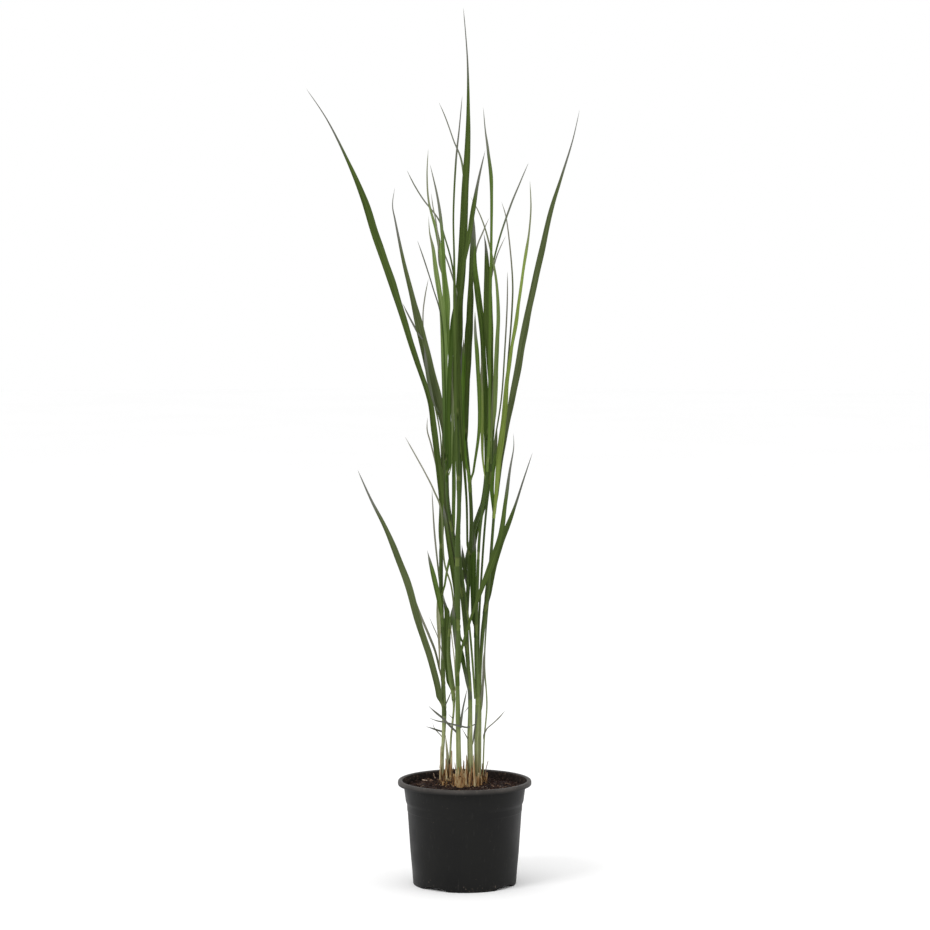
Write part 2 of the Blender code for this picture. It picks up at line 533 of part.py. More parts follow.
def add_stub(bm, x, y, height, lean_x, lean_y, width):
    """One cut-off stem: a tapered spike with a slanted end, sunk into the rootstock."""
    foot = SOIL_TOP + GAP + STUB_SINK
    rings = []
    for rise, share in STUB_LEVELS:
        level = foot + (CROWN_TOP + height - foot) * rise
        ring = []
        for i in range(STUB_SIDES):
            angle = 2.0 * math.pi * i / STUB_SIDES
            slant = STUB_SLANT * width * math.cos(angle) if rise == 1.0 else 0.0
            px = x + lean_x * rise + 0.5 * width * share * math.cos(angle)
            py = y + lean_y * rise + 0.5 * width * share * math.sin(angle)
            ring.append(bm.verts.new((px, py, level + slant)))
        rings.append(ring)
    bridge(bm, rings[0], rings[1])
    bridge(bm, rings[1], rings[2])
    bm.faces.new(rings[0])
    bm.faces.new(rings[2])


def make_crown():
    bottom = SOIL_TOP + GAP
    bm = bmesh.new()
    rings = [crown_ring(bm, share, bottom + CROWN_HEIGHT * rise) for share, rise in CROWN_LEVELS]
    for ring_a, ring_b in zip(rings, rings[1:]):
        bridge(bm, ring_a, ring_b)
    bm.faces.new(rings[0])
    bm.faces.new(rings[-1])
    crown = add_object("crown", bm, ROOTSTOCK)
    stubs = bmesh.new()
    for stub in STUBBLE:
        add_stub(stubs, *stub)
    add_boolean(crown, as_guide(add_object("stubble_guide", stubs, ROOTSTOCK)), "UNION")
    return crown


def curve_point(route, index, share):
    """A point of the smooth curve through the route, between two of its points."""
    last = len(route) - 1
    before, start = route[max(index - 1, 0)], route[index]
    end, after = route[min(index + 1, last)], route[min(index + 2, last)]
    point = []
    for a, b, c, d in zip(before, start, end, after):
        line = 2.0 * b + (c - a) * share
        bend = (2.0 * a - 5.0 * b + 4.0 * c - d) * share ** 2
        twist = (3.0 * b - a - 3.0 * c + d) * share ** 3
        point.append(0.5 * (line + bend + twist))
    return point


def stations(route):
    """Evenly spaced sections along the smooth curve: place, direction and width."""
    fine = []
    for index in range(len(route) - 1):
        for step in range(CURVE_STEPS):
            fine.append(curve_point(route, index, step / CURVE_STEPS))
    fine.append([float(value) for value in route[-1]])
    travelled = [0.0]
    for a, b in zip(fine, fine[1:]):
        travelled.append(travelled[-1] + (Vector(b[:3]) - Vector(a[:3])).length)
    count = max(4, math.ceil(travelled[-1] / STATION))
    sections = []
    index = 0
    for i in range(count + 1):
        target = travelled[-1] * i / count
        while index < len(fine) - 2 and travelled[index + 1] < target:
            index += 1
        share = (target - travelled[index]) / (travelled[index + 1] - travelled[index])
        place = [a + (b - a) * share for a, b in zip(fine[index], fine[index + 1])]
        direction = (Vector(fine[index + 1][:3]) - Vector(fine[index][:3])).normalized()
        sections.append((Vector(place[:3]), direction, place[3]))
    return sections


def section_axes(direction, turn):
    """Unit vectors across and through a strand that runs along direction."""
    across = direction.cross(Vector((0.0, 1.0, 0.0))).normalized()
    through = across.cross(direction)
    angle = math.radians(turn)
    turned_across = across * math.cos(angle) + through * math.sin(angle)
    turned_through = through * math.cos(angle) - across * math.sin(angle)
    return turned_across, turned_through


def make_culm(name, route):
    """A round tapered stem with flat ends."""
    sides = CULM_SIDES if route[0][3] > WISP_WIDTH else THIN_CULM_SIDES
    bm = bmesh.new()
    rings = []
    for place, direction, width in stations(route):
        level = Vector((0.0, 0.0, 1.0)) if not rings else direction
        across, through = section_axes(level, 0.0)
        ring = []
        for i in range(sides):
            angle = 2.0 * math.pi * (i + 0.5) / sides
            offset = across * math.cos(angle) + through * math.sin(angle)
            ring.append(bm.verts.new(place + offset * width * 0.5))
        rings.append(ring)
    for ring_a, ring_b in zip(rings, rings[1:]):
        bridge(bm, ring_a, ring_b)
    bm.faces.new(rings[0])
    bm.faces.new(rings[-1])
    return add_object(name, bm, STEM_GREEN)


def make_leaf(name, turn, route):
    """A long leaf with a V fold: four corners a section, drawn to a point at its tip."""
    bm = bmesh.new()
    rings = []
    sections = stations(route)
    for place, direction, seen in sections[:-1]:
        width = seen / math.cos(math.radians(turn))
        thickness = min(LEAF_THICKNESS, width * THIN_SHARE)
        fold = LEAF_FOLD * width if width > WISP_WIDTH else 0.0
        across, through = section_axes(direction, turn)
        corners = (
            place - across * width * 0.5,
            place + through * (fold - thickness * 0.5),
            place + across * width * 0.5,
            place + through * (fold + thickness * 0.5),
        )
        rings.append([bm.verts.new(corner) for corner in corners])
    for ring_a, ring_b in zip(rings, rings[1:]):
        bridge(bm, ring_a, ring_b)
    bm.faces.new(rings[0])
    fan(bm, rings[-1], bm.verts.new(sections[-1][0]))
    return add_object(name, bm, LEAF_GREEN)


def main():
    clear_scene()
    make_pot()
    make_soil()
    make_crown()
    for name, route in CULMS.items():
        make_culm(name, route)
    for leaves in (END_LEAVES, SIDE_LEAVES):
        for name, (turn, route) in leaves.items():
            make_leaf(name, turn, route)


main()
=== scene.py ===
"""Looks of the potted ornamental grass clump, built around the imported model."""

import math

import bmesh
import bpy
import numpy as np
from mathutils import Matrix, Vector, noise


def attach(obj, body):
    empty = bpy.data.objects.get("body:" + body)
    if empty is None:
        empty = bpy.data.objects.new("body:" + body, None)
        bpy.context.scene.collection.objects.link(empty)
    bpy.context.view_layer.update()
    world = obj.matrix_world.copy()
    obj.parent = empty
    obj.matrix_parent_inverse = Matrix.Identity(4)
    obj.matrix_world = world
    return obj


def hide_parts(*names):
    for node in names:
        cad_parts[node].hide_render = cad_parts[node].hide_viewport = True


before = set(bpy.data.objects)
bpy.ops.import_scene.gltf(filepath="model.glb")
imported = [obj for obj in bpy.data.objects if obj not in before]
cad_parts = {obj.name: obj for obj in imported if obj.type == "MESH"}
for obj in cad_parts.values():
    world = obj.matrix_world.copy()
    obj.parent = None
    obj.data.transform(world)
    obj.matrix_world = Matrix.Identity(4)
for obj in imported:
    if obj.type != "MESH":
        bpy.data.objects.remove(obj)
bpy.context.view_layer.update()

MM = 0.001
BODY = "root"
FULL_TURN = 2.0 * math.pi

# Camera and the studio's floor, in metres and degrees.
CAMERA_DISTANCE = 4.0
CAMERA_HEIGHT = 0.81
CAMERA_PITCH = 3.95  # below level
CAMERA_ASIDE = 0.00044
LENS = 122.865  # millimetres
STUDIO_RADIUS = 14.0

# Pot: the same outline as the CAD pot, in millimetres.
POT_HEIGHT = 133.0
WALL = 1.3
FLOOR = 1.8
BASE_RADIUS = 65.5
COLLAR_LOW = 102.0
COLLAR_TOP = 106.0
WALL_RADIUS_40 = 69.0
WALL_RADIUS_94 = 73.1
COLLAR_RADIUS = 77.5
LIP_RADIUS = 85.0
LIP_DROP = 6.2
LIP_INNER = LIP_RADIUS - 5.6
NOTCH_COUNT = 4
NOTCH_FIRST = -126.0
NOTCH_HALF_ANGLE = 16.0
NOTCH_HEIGHT = 4.0
NOTCH_INNER_RADIUS = 50.0
NOTCH_RAMP = 3.0
DRAIN_RADIUS = 4.0
DRAIN_RING = 58.0
DRAIN_CUT = 9.0  # length of the rod that cuts a drain hole
POT_SEGMENTS = 192

# Peat and what lies on it.
SOIL_TOP = 124.0
SOIL_EDGE = (76.2, 121.0)  # radius and height, inside the pot's wall
SOIL_CLEARANCE = 0.3
SOIL_SEGMENTS = 160
SOIL_RINGS = 62
SOIL_OUTER = 76.0
SOIL_INNER = 3.0
SOIL_DIP_START = 73.0  # from here out the peat dips to the wall
SOIL_DIP = 1.2
CRUMBS = 1500
CRUMB_REACH = 74.0
CRUMB_LIMIT = 75.6
CRUMB_TURN = 6.28  # radians, near a full turn
CHIP_SHARE = 0.22
CHIP_SHAPE = (2.4, 1.1, 0.45)
FIBRES = 210
FIBRE_REACH = 70.0
FIBRE_LIMIT = 74.5
FIBRE_STEPS = 9

# Rootstock.
CROWN_TOP = 127.5
CROWN_EDGE = 121.0
CROWN_FOOT = 117.0
CROWN_CENTRE = (-3.0, 22.0)
CROWN_RADII = (35.0, 31.0)
CROWN_SEGMENTS = 120
CROWN_RINGS = 44
STUB_SIDES = 14
STUB_DEPTH = 4.0  # of its foot below the rootstock's top
TALL_STUB = 30.0  # a stub taller than this is pale
LOW_STUBS = 70
SHREDS = 150
SCALES_A_STEM = 7
SCALE_STEPS = 9

# Stems. One that begins below FOOT_LIMIT stands on the rootstock.
FOOT = 127.8
FOOT_LIMIT = 140.0
FOOT_DEPTH = 2.5  # that it goes on into the rootstock
CURVE_STEPS = 24
CULM_STEP = 4.0
CULM_SIDES = 22
BARE_SHARE = 0.88  # stem radius above a sheath's mouth, as a share of the solid's
SHEATH_SHARE = 0.98
SHEATH_LENGTH = 150.0  # a longer stretch of stem gets mouths of its own, moved by up to MOUTH_SHIFT
MOUTH_SHIFT = 12.0
MOUTH_GAP = 24.0  # a leaf nearer than this to the one below it has no mouth of its own
MOUTH_BELOW_TOP = 25.0  # nor one nearer than this to the stem's top
JOINT_RISE = (7.0, 16.0)  # from a sheath's mouth to the joint above it
JOINT_STEPS = (-2.5, -1.2, 0.0, 1.2, 2.5)  # rings round a joint
JOINT_REACH = 1.4

# Leaves.
LEAF_STEP = 3.0
LEAF_TWIST = 0.14  # radians, to and fro along the leaf
TWIST_LENGTH = 63.0
TIP_TAPER = 14.0
DRY_TIP = (150.0, 30.0)  # from the tip: where it begins to dry and where it is dry
LEAF_FOLD = 0.16
FOLD_SOFTNESS = 0.02
WIDE_LEAF = 3.4  # a leaf wider than this has a midrib and more points across
WIDE_POINTS = 9
NARROW_POINTS = 4
COLLAR_LENGTH = 24.0  # over which a leaf unrolls from round its stem
COLLAR_START = 2.5
COLLAR_STEP = 1.5
COLLAR_CLEARANCE = 0.15
COLLAR_HUG = 2.35  # radians that a leaf's foot goes round its stem, each way

# Cut stubble of last year on the rootstock: x, y, height, lean in x, lean in y, width.
STUBBLE = [
    (-2, 9, 27, 1, 1, 3.2), (3, 13, 34, -0.5, 0.5, 3.2), (0.5, 3, 17, 1.5, -1, 3.4), (-17.5, 25, 37, 1, 1, 3),
    (-22.5, 25.5, 27, -1.5, -1, 3), (-31.6, 36, 42, 1, -1, 2), (12.8, 0.4, 36, -1.8, -0.4, 2.8),
    (14.5, 5.5, 7, 1, -1, 5), (20.5, 9.5, 6, 1, -1, 4), (26.5, 24, 9, 2, 0, 3.4), (-13.5, 11, 9, -1, 0, 4.4),
    (-8, 22, 12, 0, 1, 3.4), (10, 34, 12, 0, 1, 3.6), (-4, 36, 9, -1, 1, 4), (-16, 43, 11, 0, 1, 3.6),
]

# Low stubs crowded round the front stems, in the same form.
SKIRT = [
    (-12.5, -2.5, 12, -0.6, 0, 2.8), (-10.6, -4.2, 17, -0.4, -0.2, 2.6), (-8.4, -5.4, 21, 0.4, 0.2, 2.8),
    (-6, -5.6, 16, 0.6, 0, 2.4), (-3.6, -4.8, 23, -0.3, 0.4, 2.8), (-1.2, -3.6, 15, 0.5, 0, 2.8),
    (1.2, -2.6, 24, 0.6, 0.3, 2.6), (3.4, -1.6, 18, -0.4, 0.2, 2.8), (5.8, -1, 14, 0.4, 0.4, 2.6),
    (8, 0, 21, 0.8, 0.4, 2.8), (10.2, 1.2, 13, 0.6, 0.2, 2.6), (-15, 3, 15, -0.6, 0.4, 2.6),
    (-18, 22, 22, -0.4, 0, 2.6), (-23.5, 30, 18, -0.8, 0, 2.8), (17, 4, 12, 0.8, 0, 2.8),
    (5.4, 12, 25, 0.5, 0.5, 2.8),
]

# Sticks standing in the peat: foot, top and radius.
STICKS = [
    ((-36.5, 55, 121.5), (-40.5, 55, 131.8), 0.75), ((24.6, 46, 122.5), (29.8, 46, 149), 0.7),
    ((-48, 40, 124.2), (-55, 43, 125.2), 1.1),
]

# Stems: how pale each is, then the x, y, z and width of its points, from its foot up.
CULMS = {
    "culm_front": (0.46, [
        (-6.5, 0, FOOT, 7.6), (-7.4, 0, 152, 7), (-8, 0, 182, 6.4), (-8.5, 0, 216, 6.2), (-9, 0, 250, 5.2),
        (-9.4, 0, 272, 5.8), (-8.8, 0, 288, 6.8), (-8.6, 0, 311, 7.2), (-9.1, 0, 363, 7.2), (-9.2, 0, 432, 6),
        (-7.1, 0, 480, 5.4), (-8.5, 0, 547, 5.2), (-9.5, 0, 591, 3.8),
    ]),
    "culm_far_left": (0.55, [
        (-28.6, 39, FOOT, 4.2), (-28.4, 41, 160, 4.2), (-27, 43.5, 184, 5), (-26.2, 46, 213, 6),
        (-27.4, 46, 244, 5.8), (-27.8, 46, 274, 6), (-27, 46, 299, 6), (-30, 46, 357, 5.6),
        (-30, 45, 415, 5.2), (-28, 44, 482, 4),
    ]),
    "culm_left": (0.6, [
        (-19, 33, FOOT, 3.2), (-18.8, 33, 150, 2.8), (-17.4, 33, 182, 2.8), (-15.4, 33, 202, 2.8),
        (-13.8, 33, 222, 3), (-14.8, 33, 240, 6.4), (-17.9, 34, 262, 6.8), (-20.5, 34, 294, 4.8),
        (-17.5, 34, 333, 4.6), (-7.5, 33, 369, 4.8), (3, 32, 410, 5.6), (13, 31, 453, 5.6),
        (24.5, 30, 483, 4.4),
    ]),
    "culm_crossing": (0.38, [
        (9, 5, FOOT, 5), (7.8, 6, 176, 5), (7.4, 7, 215, 5), (6.6, 7.6, 247, 5.2), (4.6, 8.6, 272, 4.8),
        (3.2, 9.4, 290, 4.6), (2.4, 10.2, 311, 6.2), (0.8, 11, 333, 6.6), (-2.6, 12.6, 361, 5.4),
        (-7, 15, 395, 4.6), (-14.5, 16, 440, 4.2), (-21.5, 16, 484, 4), (-23.5, 16, 539, 3.8),
    ]),
    "culm_middle": (0.5, [
        (7, 20, FOOT, 5.6), (6, 20, 181, 5.6), (7, 20, 232, 5.6), (3.5, 20, 294, 5.2), (2.5, 21, 335, 5),
        (5, 21, 386, 5), (8.5, 23, 449, 5), (7, 24, 500, 4.6), (1.5, 25, 564, 3.8),
    ]),
    "culm_right": (0.42, [
        (15.5, 14, FOOT, 5.6), (15, 14, 182, 5.6), (16, 13, 233, 5.2), (14.5, 13, 304, 5), (16, 14, 374, 4.2),
        (19, 14, 444, 3.6), (25.5, 15, 495, 3.2), (29, 16, 533, 3.2), (29, 16, 564, 3.2),
    ]),
    "culm_right_thin": (0.5, [
        (19, 20, FOOT, 2.8), (19, 20, 181, 2.8), (18, 20, 239, 2.8), (18, 20, 322, 2.8), (22, 21, 401, 2.8),
        (27, 22, 469, 2.8), (33.5, 23, 526, 2.8), (36.5, 24, 577, 3),
    ]),
    "culm_right_back": (0.6, [
        (19.4, 27, FOOT, 3.6), (19.8, 27, 205, 3.6), (20, 27, 267, 3.8), (22.4, 27, 311, 5.2),
        (25.2, 27, 336, 5.8), (28.2, 27, 361, 5.4), (30.5, 27, 379, 4.2), (34.5, 28, 430, 3.8),
        (37.5, 28, 471, 3.8),
    ]),
    "culm_right_pale": (1.0, [
        (23.5, 34, FOOT, 2), (25, 34, 178, 2), (28.5, 35, 224, 2), (25.5, 35, 275, 2), (27.5, 36.5, 323, 2),
        (33.5, 38.5, 395, 2), (37.5, 36, 468, 2),
    ]),
    "culm_inner": (0.4, [
        (13.2, 9.8, 235, 2.6), (9.8, 5.2, 285, 2.8), (5.4, 5.8, 333, 2.8), (-1, 9, 378, 3), (-6, 9, 419, 3),
        (-6.5, 9, 463, 2.8), (-4.5, 8, 514, 2.8), (-4.5, 8, 540, 2.8),
    ]),
}

# Leaves that go on from the end of a stem: look, turn in degrees, then the x, y, z and the width
# seen from the front of each point.
END_LEAVES = {
    "blade_tallest": ("dark", 10, [
        (-9.5, 0, 592, 5), (-10.9, -1, 648, 8.6), (-8.1, -1.6, 691, 11), (-7.9, -2, 711, 11.2),
        (-7.2, -2.4, 742, 10.8), (-4, -3, 780, 10.7), (-1.5, -5, 830, 10), (0.5, -7, 880, 8.8),
        (3.5, -9, 930, 7.6), (4.5, -15, 979, 4.6), (3.5, -23, 1041, 2), (-1.5, -30, 1104, 0.8),
    ]),
    "blade_right_arching": ("dusky", -20, [
        (38, 28, 472, 5), (45.5, 30, 536, 6.4), (55, 30, 589, 7), (65, 32, 640, 9.4), (74, 35, 691, 9.4),
        (84, 40, 741, 8.2), (98.5, 48, 805, 7.4), (109.5, 57, 853, 5.6), (123, 68, 896, 3.4),
        (138, 79, 944, 1.6), (147, 85, 983, 0.6),
    ]),
    "blade_left_upright": ("light_with_painted_shade", 30, [
        (-23.5, 16, 540, 5), (-24.5, 16, 603, 6.4), (-25, 16, 666, 7), (-23.8, 15, 711, 9.6),
        (-23.3, 14, 742, 9.2), (-27.5, 13, 786, 6.4), (-35, 16, 826, 4.8), (-45, 21, 864, 2.8),
        (-47.5, 27, 899, 1.8), (-46, 30, 932, 0.6),
    ]),
    "blade_middle_narrow": ("dark", 30, [
        (1.5, 25, 565, 5), (2.9, 25, 627, 6.4), (4.8, 26, 691, 10.1), (6.3, 26.4, 716, 8.5),
        (7.5, 26.8, 742, 8.6), (7.5, 27, 766, 6), (9.2, 29, 811, 4.6), (12, 30, 858, 0.8),
    ]),
    "blade_right_upright": ("dark", 10, [
        (28.8, 16, 565, 3.6), (31.4, 16, 594, 3.6), (32.8, 16, 625, 4), (32.6, 15.8, 641, 5.7),
        (31.9, 15.5, 665, 8.7), (30.5, 14, 704, 11.6), (29.3, 10, 742, 11.5), (28, 5, 786, 6.4),
        (26.5, 3, 810, 2.8), (24, 2, 826, 0.8),
    ]),
    "blade_right_light": ("light", -30, [
        (36.5, 24, 578, 5), (38.5, 23, 621, 6.4), (41, 21, 685, 5), (42.5, 17, 723, 4.4), (39.5, 7, 769, 3),
        (29.5, -7, 818, 2.2), (19.5, -16, 848, 1.6), (7.5, -20, 871, 0.6),
    ]),
    "blade_inner_long": ("green", 40, [
        (-4.5, 8, 541, 3.8), (-6, 8, 616, 4.6), (-7, 9, 691, 4.6), (-3.5, 10, 773, 3.8), (1.5, 14, 849, 3),
        (-3, 25, 912, 2.6), (-14, 32, 943, 1.8), (-23.5, 37, 970, 1.6), (-32.5, 40, 991, 0.6),
    ]),
    "blade_right_wisp": ("grey", 0, [
        (37.5, 36, 469, 2.4), (42.5, 38, 544, 2.2), (49.5, 41, 599, 2.2), (55.5, 50, 665, 2.2),
        (60.5, 61, 728, 2.2), (61, 70, 773, 2), (54.5, 86, 839, 1.6), (47.5, 90, 866, 0.8),
    ]),
}

# Leaves that leave a stem from its side, in the same form.
SIDE_LEAVES = {
    "blade_left_arching": ("dark", 20, [
        (-30.1, 40.6, 415, 3.5), (-30, 39.9, 448, 7), (-28.8, 39.9, 483, 7.6), (-32, 41.5, 518, 7.6),
        (-38.9, 46, 575, 7.6), (-44.6, 46, 614, 6.7), (-61.5, 46, 665, 7), (-77.5, 44, 716, 8.8),
        (-93.5, 42, 767, 10), (-111, 38, 817, 10), (-127, 32, 868, 8.2), (-148, 24, 918, 3.8),
        (-173, 15, 968, 1.6), (-199, 10, 1007, 0.6),
    ]),
    "blade_right_olive": ("lime", 45, [
        (37.8, 23.4, 466, 3.2), (43.5, 21, 539, 6.4), (49.5, 20, 590, 6.4), (54, 17, 641, 5.2),
        (59, 13, 679, 5), (65.5, 8, 717, 5), (71, -1, 761, 4.2), (77, -15, 802, 3.6), (80.5, -25, 827, 2.2),
        (82.5, -37, 858, 1.6), (81, -45, 890, 0.6),
    ]),
    "blade_right_wide": ("green", 0, [
        (-0.8, 37, 388, 3), (4.3, 37, 407, 9.6), (9.3, 36.5, 429, 10), (13.8, 36, 451, 9.4),
        (20.1, 35.5, 470, 8.8), (25.1, 35, 487, 8.2), (29.5, 34, 525, 8.8), (28, 34, 583, 8.2),
        (25, 36, 640, 8.2), (23.3, 38, 682, 6.1), (21.8, 40, 710, 7.8), (17.7, 42.4, 742, 8),
        (14.6, 43.6, 767, 7.3), (12.2, 45, 789, 6.6), (12.5, 47, 824, 3.2), (11.5, 48, 849, 0.8),
    ]),
    "blade_right_wiry": ("green", 30, [
        (34.5, 26.8, 570, 2.6), (32, 28, 640, 2.6), (31.5, 29, 729, 2.6), (34.5, 32, 777, 2.2),
        (43.5, 38, 817, 2.2), (58, 44, 860, 2.2), (69.5, 48, 888, 1.6), (81, 50, 915, 0.8),
    ]),
    "blade_high_right": ("green", 40, [
        (29.5, 12.3, 527, 3.8), (31.5, 8, 590, 3.8), (31.5, 2, 666, 3.8), (32.5, -11, 755, 3.2),
        (33.5, -26, 836, 3), (33, -40, 892, 4.4), (29, -50, 928, 3.6), (25.5, -56, 953, 1.8),
        (23, -60, 980, 0.6),
    ]),
    "blade_high_middle": ("dark", 40, [
        (3.5, 18, 409, 2.6), (2.4, 10, 488, 3), (-3, -2, 565, 3.8), (-6.5, -7, 647, 4), (-9.5, -9, 717, 4),
        (-4.2, -14, 770, 5), (2.7, -22, 807, 6.5), (9, -32, 844, 7), (13.5, -39, 872, 4.6),
        (18.5, -45, 898, 2.8), (25.5, -50, 928, 0.6),
    ]),
    "blade_high_left": ("dark", 40, [
        (-9, -5, 505, 2.6), (-11.5, -9, 591, 2.8), (-12.2, -13, 667, 3.2), (-12.7, -16, 730, 3.8),
        (-13, -20, 790, 2.8), (-14, -28, 848, 2.6), (-11, -45, 912, 2.6), (-6.5, -61, 956, 1.6),
        (-3, -70, 994, 0.6),
    ]),
    "blade_left_slender": ("green", 35, [
        (-28.5, 41.5, 355, 2.6), (-23, 38, 393, 2.8), (-16, 38, 429, 3.8), (-14, 36, 487, 4.6),
        (-14, 31, 551, 4.6), (-17, 18, 634, 4.2), (-21, 5, 704, 4.2), (-25, -10, 773, 4),
        (-28.5, -24, 830, 3.8), (-33.5, -33, 869, 2.6), (-43, -40, 911, 0.6),
    ]),
    "blade_left_wiry": ("green", 0, [
        (-9.5, 3.7, 568, 2.2), (-14, 10, 653, 2.2), (-11.5, 20, 742, 2.2), (-16, 29, 786, 2.2),
        (-25, 38, 820, 2), (-33.5, 45, 844, 2), (-52, 52, 868, 1.8), (-64.5, 57, 888, 1.6),
        (-73.5, 60, 906, 0.8),
    ]),
    "blade_left_dark": ("dusky", -10, [
        (-3.8, 16.9, 364, 3), (-8.4, 18.8, 392, 9.5), (-13.5, 19.4, 421, 11), (-18.6, 19.4, 450, 10.5),
        (-22.6, 19.6, 485, 7.5), (-23.5, 22, 520, 6.4), (-25, 25, 572, 7.6), (-34, 24, 615, 11.4),
        (-44, 20, 653, 12), (-56, 13, 704, 10.8), (-65.5, 5, 744, 7), (-77, -7, 792, 4.4),
        (-86.5, -21, 840, 2.2), (-90, -26, 861, 1.2), (-87, -30, 882, 0.6),
    ]),
    "blade_left_wisp": ("deep", 0, [
        (-23, 13, 530, 2), (-25, 4, 647, 1.8), (-29, -3, 717, 1.8), (-40, -9, 758, 1.6), (-51, -13, 793, 1.6),
        (-59, -15, 816, 0.8),
    ]),
    "blade_left_hooked": ("grey", 0, [
        (-30, 47, 478, 2), (-30.5, 44.5, 563, 1.8), (-41, 38, 621, 1.8), (-50.5, 35, 675, 1.8),
        (-53, 38, 718, 1.6), (-50.5, 39, 745, 1.6), (-46, 40, 768, 0.8),
    ]),
    "blade_left_light": ("light", 25, [
        (-27.5, 48.4, 462, 3.2), (-25.9, 48.5, 531, 6.6), (-25.3, 37, 601, 6.2), (-26.1, 34.5, 641, 5.7),
        (-26.9, 32, 672, 6.2), (-28.5, 27, 722, 6.2), (-30.2, 25, 741, 6.4), (-36, 20, 776, 6.6),
        (-39.5, 15, 805, 4.6), (-44, 12, 826, 1.8), (-45.5, 10, 847, 0.6),
    ]),
    "blade_middle_wisp": ("grey", 0, [
        (2.5, 28.3, 553, 2.6), (7, 39, 678, 2.2), (9.5, 51, 754, 2), (14.5, 60, 803, 2), (23.5, 64, 828, 1.8),
        (31, 66, 845, 0.8),
    ]),
    "blade_right_pale": ("grey", 0, [
        (32, 25.6, 508, 2.2), (37, 28, 554, 2), (46.5, 29, 615, 2), (51, 31, 678, 2), (54, 38, 735, 1.8),
        (54.5, 42, 777, 0.8),
    ]),
    "blade_right_thread": ("grey", 0, [
        (29.5, 19, 562, 2), (31, 22, 666, 1.8), (31.5, 20, 748, 1.8), (39, 14, 792, 1.6),
        (51.5, 10, 822, 0.8),
    ]),
    "blade_middle_short": ("green", 30, [
        (7.5, 20, 501, 2.6), (12.5, 16, 534, 3), (18, 10, 575, 4.2), (18.5, 3, 622, 5.2),
        (15.6, -5, 673, 5.6), (13.4, -10, 704, 3.4), (13, -12, 728, 1),
    ]),
    "blade_left_inner": ("deep", 10, [
        (-20.7, 13.6, 513, 3), (-19.1, 8, 533, 4.4), (-19.7, 1.5, 565, 5.5), (-20.1, -3, 604, 5.5),
        (-19.7, -5, 635, 5.5), (-18.4, -6, 660, 5.5), (-16.9, -6.5, 686, 5.8), (-14.7, -7, 717, 5.4),
        (-10.2, -8, 748, 0.9),
    ]),
    "blade_middle_light": ("bright", 0, [
        (4.9, 20.8, 513, 3.3), (1.7, 18.5, 533, 3.8), (-0.2, 17, 552, 4.3), (-2.1, 16.5, 577, 4),
        (-2.3, 16, 615, 4.6), (-2.1, 15.5, 641, 5.8), (-1.7, 15, 666, 5.8), (-1.1, 14.5, 694, 0.9),
    ]),
    "blade_centre": ("deep", 0, [
        (11.3, 15.6, 315, 2.5), (10.6, 16.2, 338, 4.3), (10.8, 16.8, 363, 6.3), (10.6, 17.2, 393, 7.8),
        (11.2, 17.4, 412, 7.3), (12.8, 18, 427, 3.8), (13.1, 19, 446, 0.9),
    ]),
    "blade_left_diagonal": ("dark", 0, [
        (0.8, 12.8, 292, 2.5), (-3.4, 13, 303, 3), (-6.6, 13.2, 316, 3.6), (-8.6, 13.6, 335, 4.4),
        (-10.6, 14, 355, 5.1), (-11.6, 14, 374, 5.6), (-14.1, 14, 393, 6.1), (-17.9, 14, 418, 6.1),
        (-22.6, 14, 449, 5.1), (-25.5, 14, 469, 3.8), (-27.1, 14, 483, 0.9),
    ]),
    "blade_right_short": ("bright", 0, [
        (36.6, 30.4, 472, 3.3), (35.7, 31, 487, 4.8), (34.7, 31.2, 500, 5.3), (35.7, 31.2, 519, 5.1),
        (37.3, 31.2, 532, 4.8), (38.9, 31.5, 544, 4.6), (40.5, 32, 564, 2.5), (41.5, 32.5, 579, 0.9),
    ]),
    "blade_far_left_inner": ("dark", 0, [
        (-17.9, 36.2, 232, 3.1), (-20.4, 38, 250, 5.1), (-22.2, 39.5, 271, 5.6), (-23.4, 40.5, 294, 5.3),
        (-23.2, 40.5, 319, 6.1), (-22.5, 40, 341, 6.9), (-24.4, 39.5, 349, 4.6), (-25.8, 39, 356, 2.8),
        (-26.8, 38.5, 364, 0.9),
    ]),
    "blade_low_crossing": ("deep", 0, [
        (4.5, 4.6, 237, 2.8), (3.2, 4.8, 248, 3.8), (2.4, 5, 260, 4), (-0.4, 5.6, 275, 4.8),
        (-3, 6, 289, 5.8), (-5.2, 6.4, 301, 3.8), (-8, 7, 313, 0.9),
    ]),
    "blade_side_crossing": ("dark", 40, [
        (-7.8, -4.1, 256, 3), (-5, -6.6, 293, 3), (3, -9, 325, 3.6), (13, -13, 355, 3.8),
        (23.9, -17, 385, 5.8), (34.4, -22, 413, 7.4), (45, -28, 446, 5.8), (51, -37, 489, 4.6),
        (56.5, -50, 531, 2.8), (61, -57, 559, 1.2), (60.5, -60, 577, 0.6),
    ]),
    "blade_side_right": ("dark", -20, [
        (26.9, 30.8, 344, 4.6), (29.6, 31.4, 365, 8.4), (35.4, 33, 399, 10.2), (44, 40, 427, 9.2),
        (54.5, 47, 451, 7), (64.5, 55, 477, 3.8), (75.5, 66, 510, 2.2), (87.5, 75, 545, 0.6),
    ]),
    "blade_side_left": ("grey", 0, [
        (-9.5, 4.3, 324, 2.2), (-12.6, 4.8, 345, 2.2), (-17, 2.6, 380, 2.2), (-26, 0, 413, 2.2),
        (-29.5, -8, 475, 2.2), (-38.5, -14, 502, 2.2), (-49.5, -20, 525, 1.8), (-63.5, -27, 551, 1.6),
        (-74.5, -30, 571, 0.8),
    ]),
    "blade_side_left_short": ("grey", 0, [
        (-32.2, 45.4, 473, 2.2), (-34, 51, 516, 2.2), (-42.5, 60, 554, 2), (-48, 64, 574, 1.6),
        (-47.5, 66, 590, 0.8),
    ]),
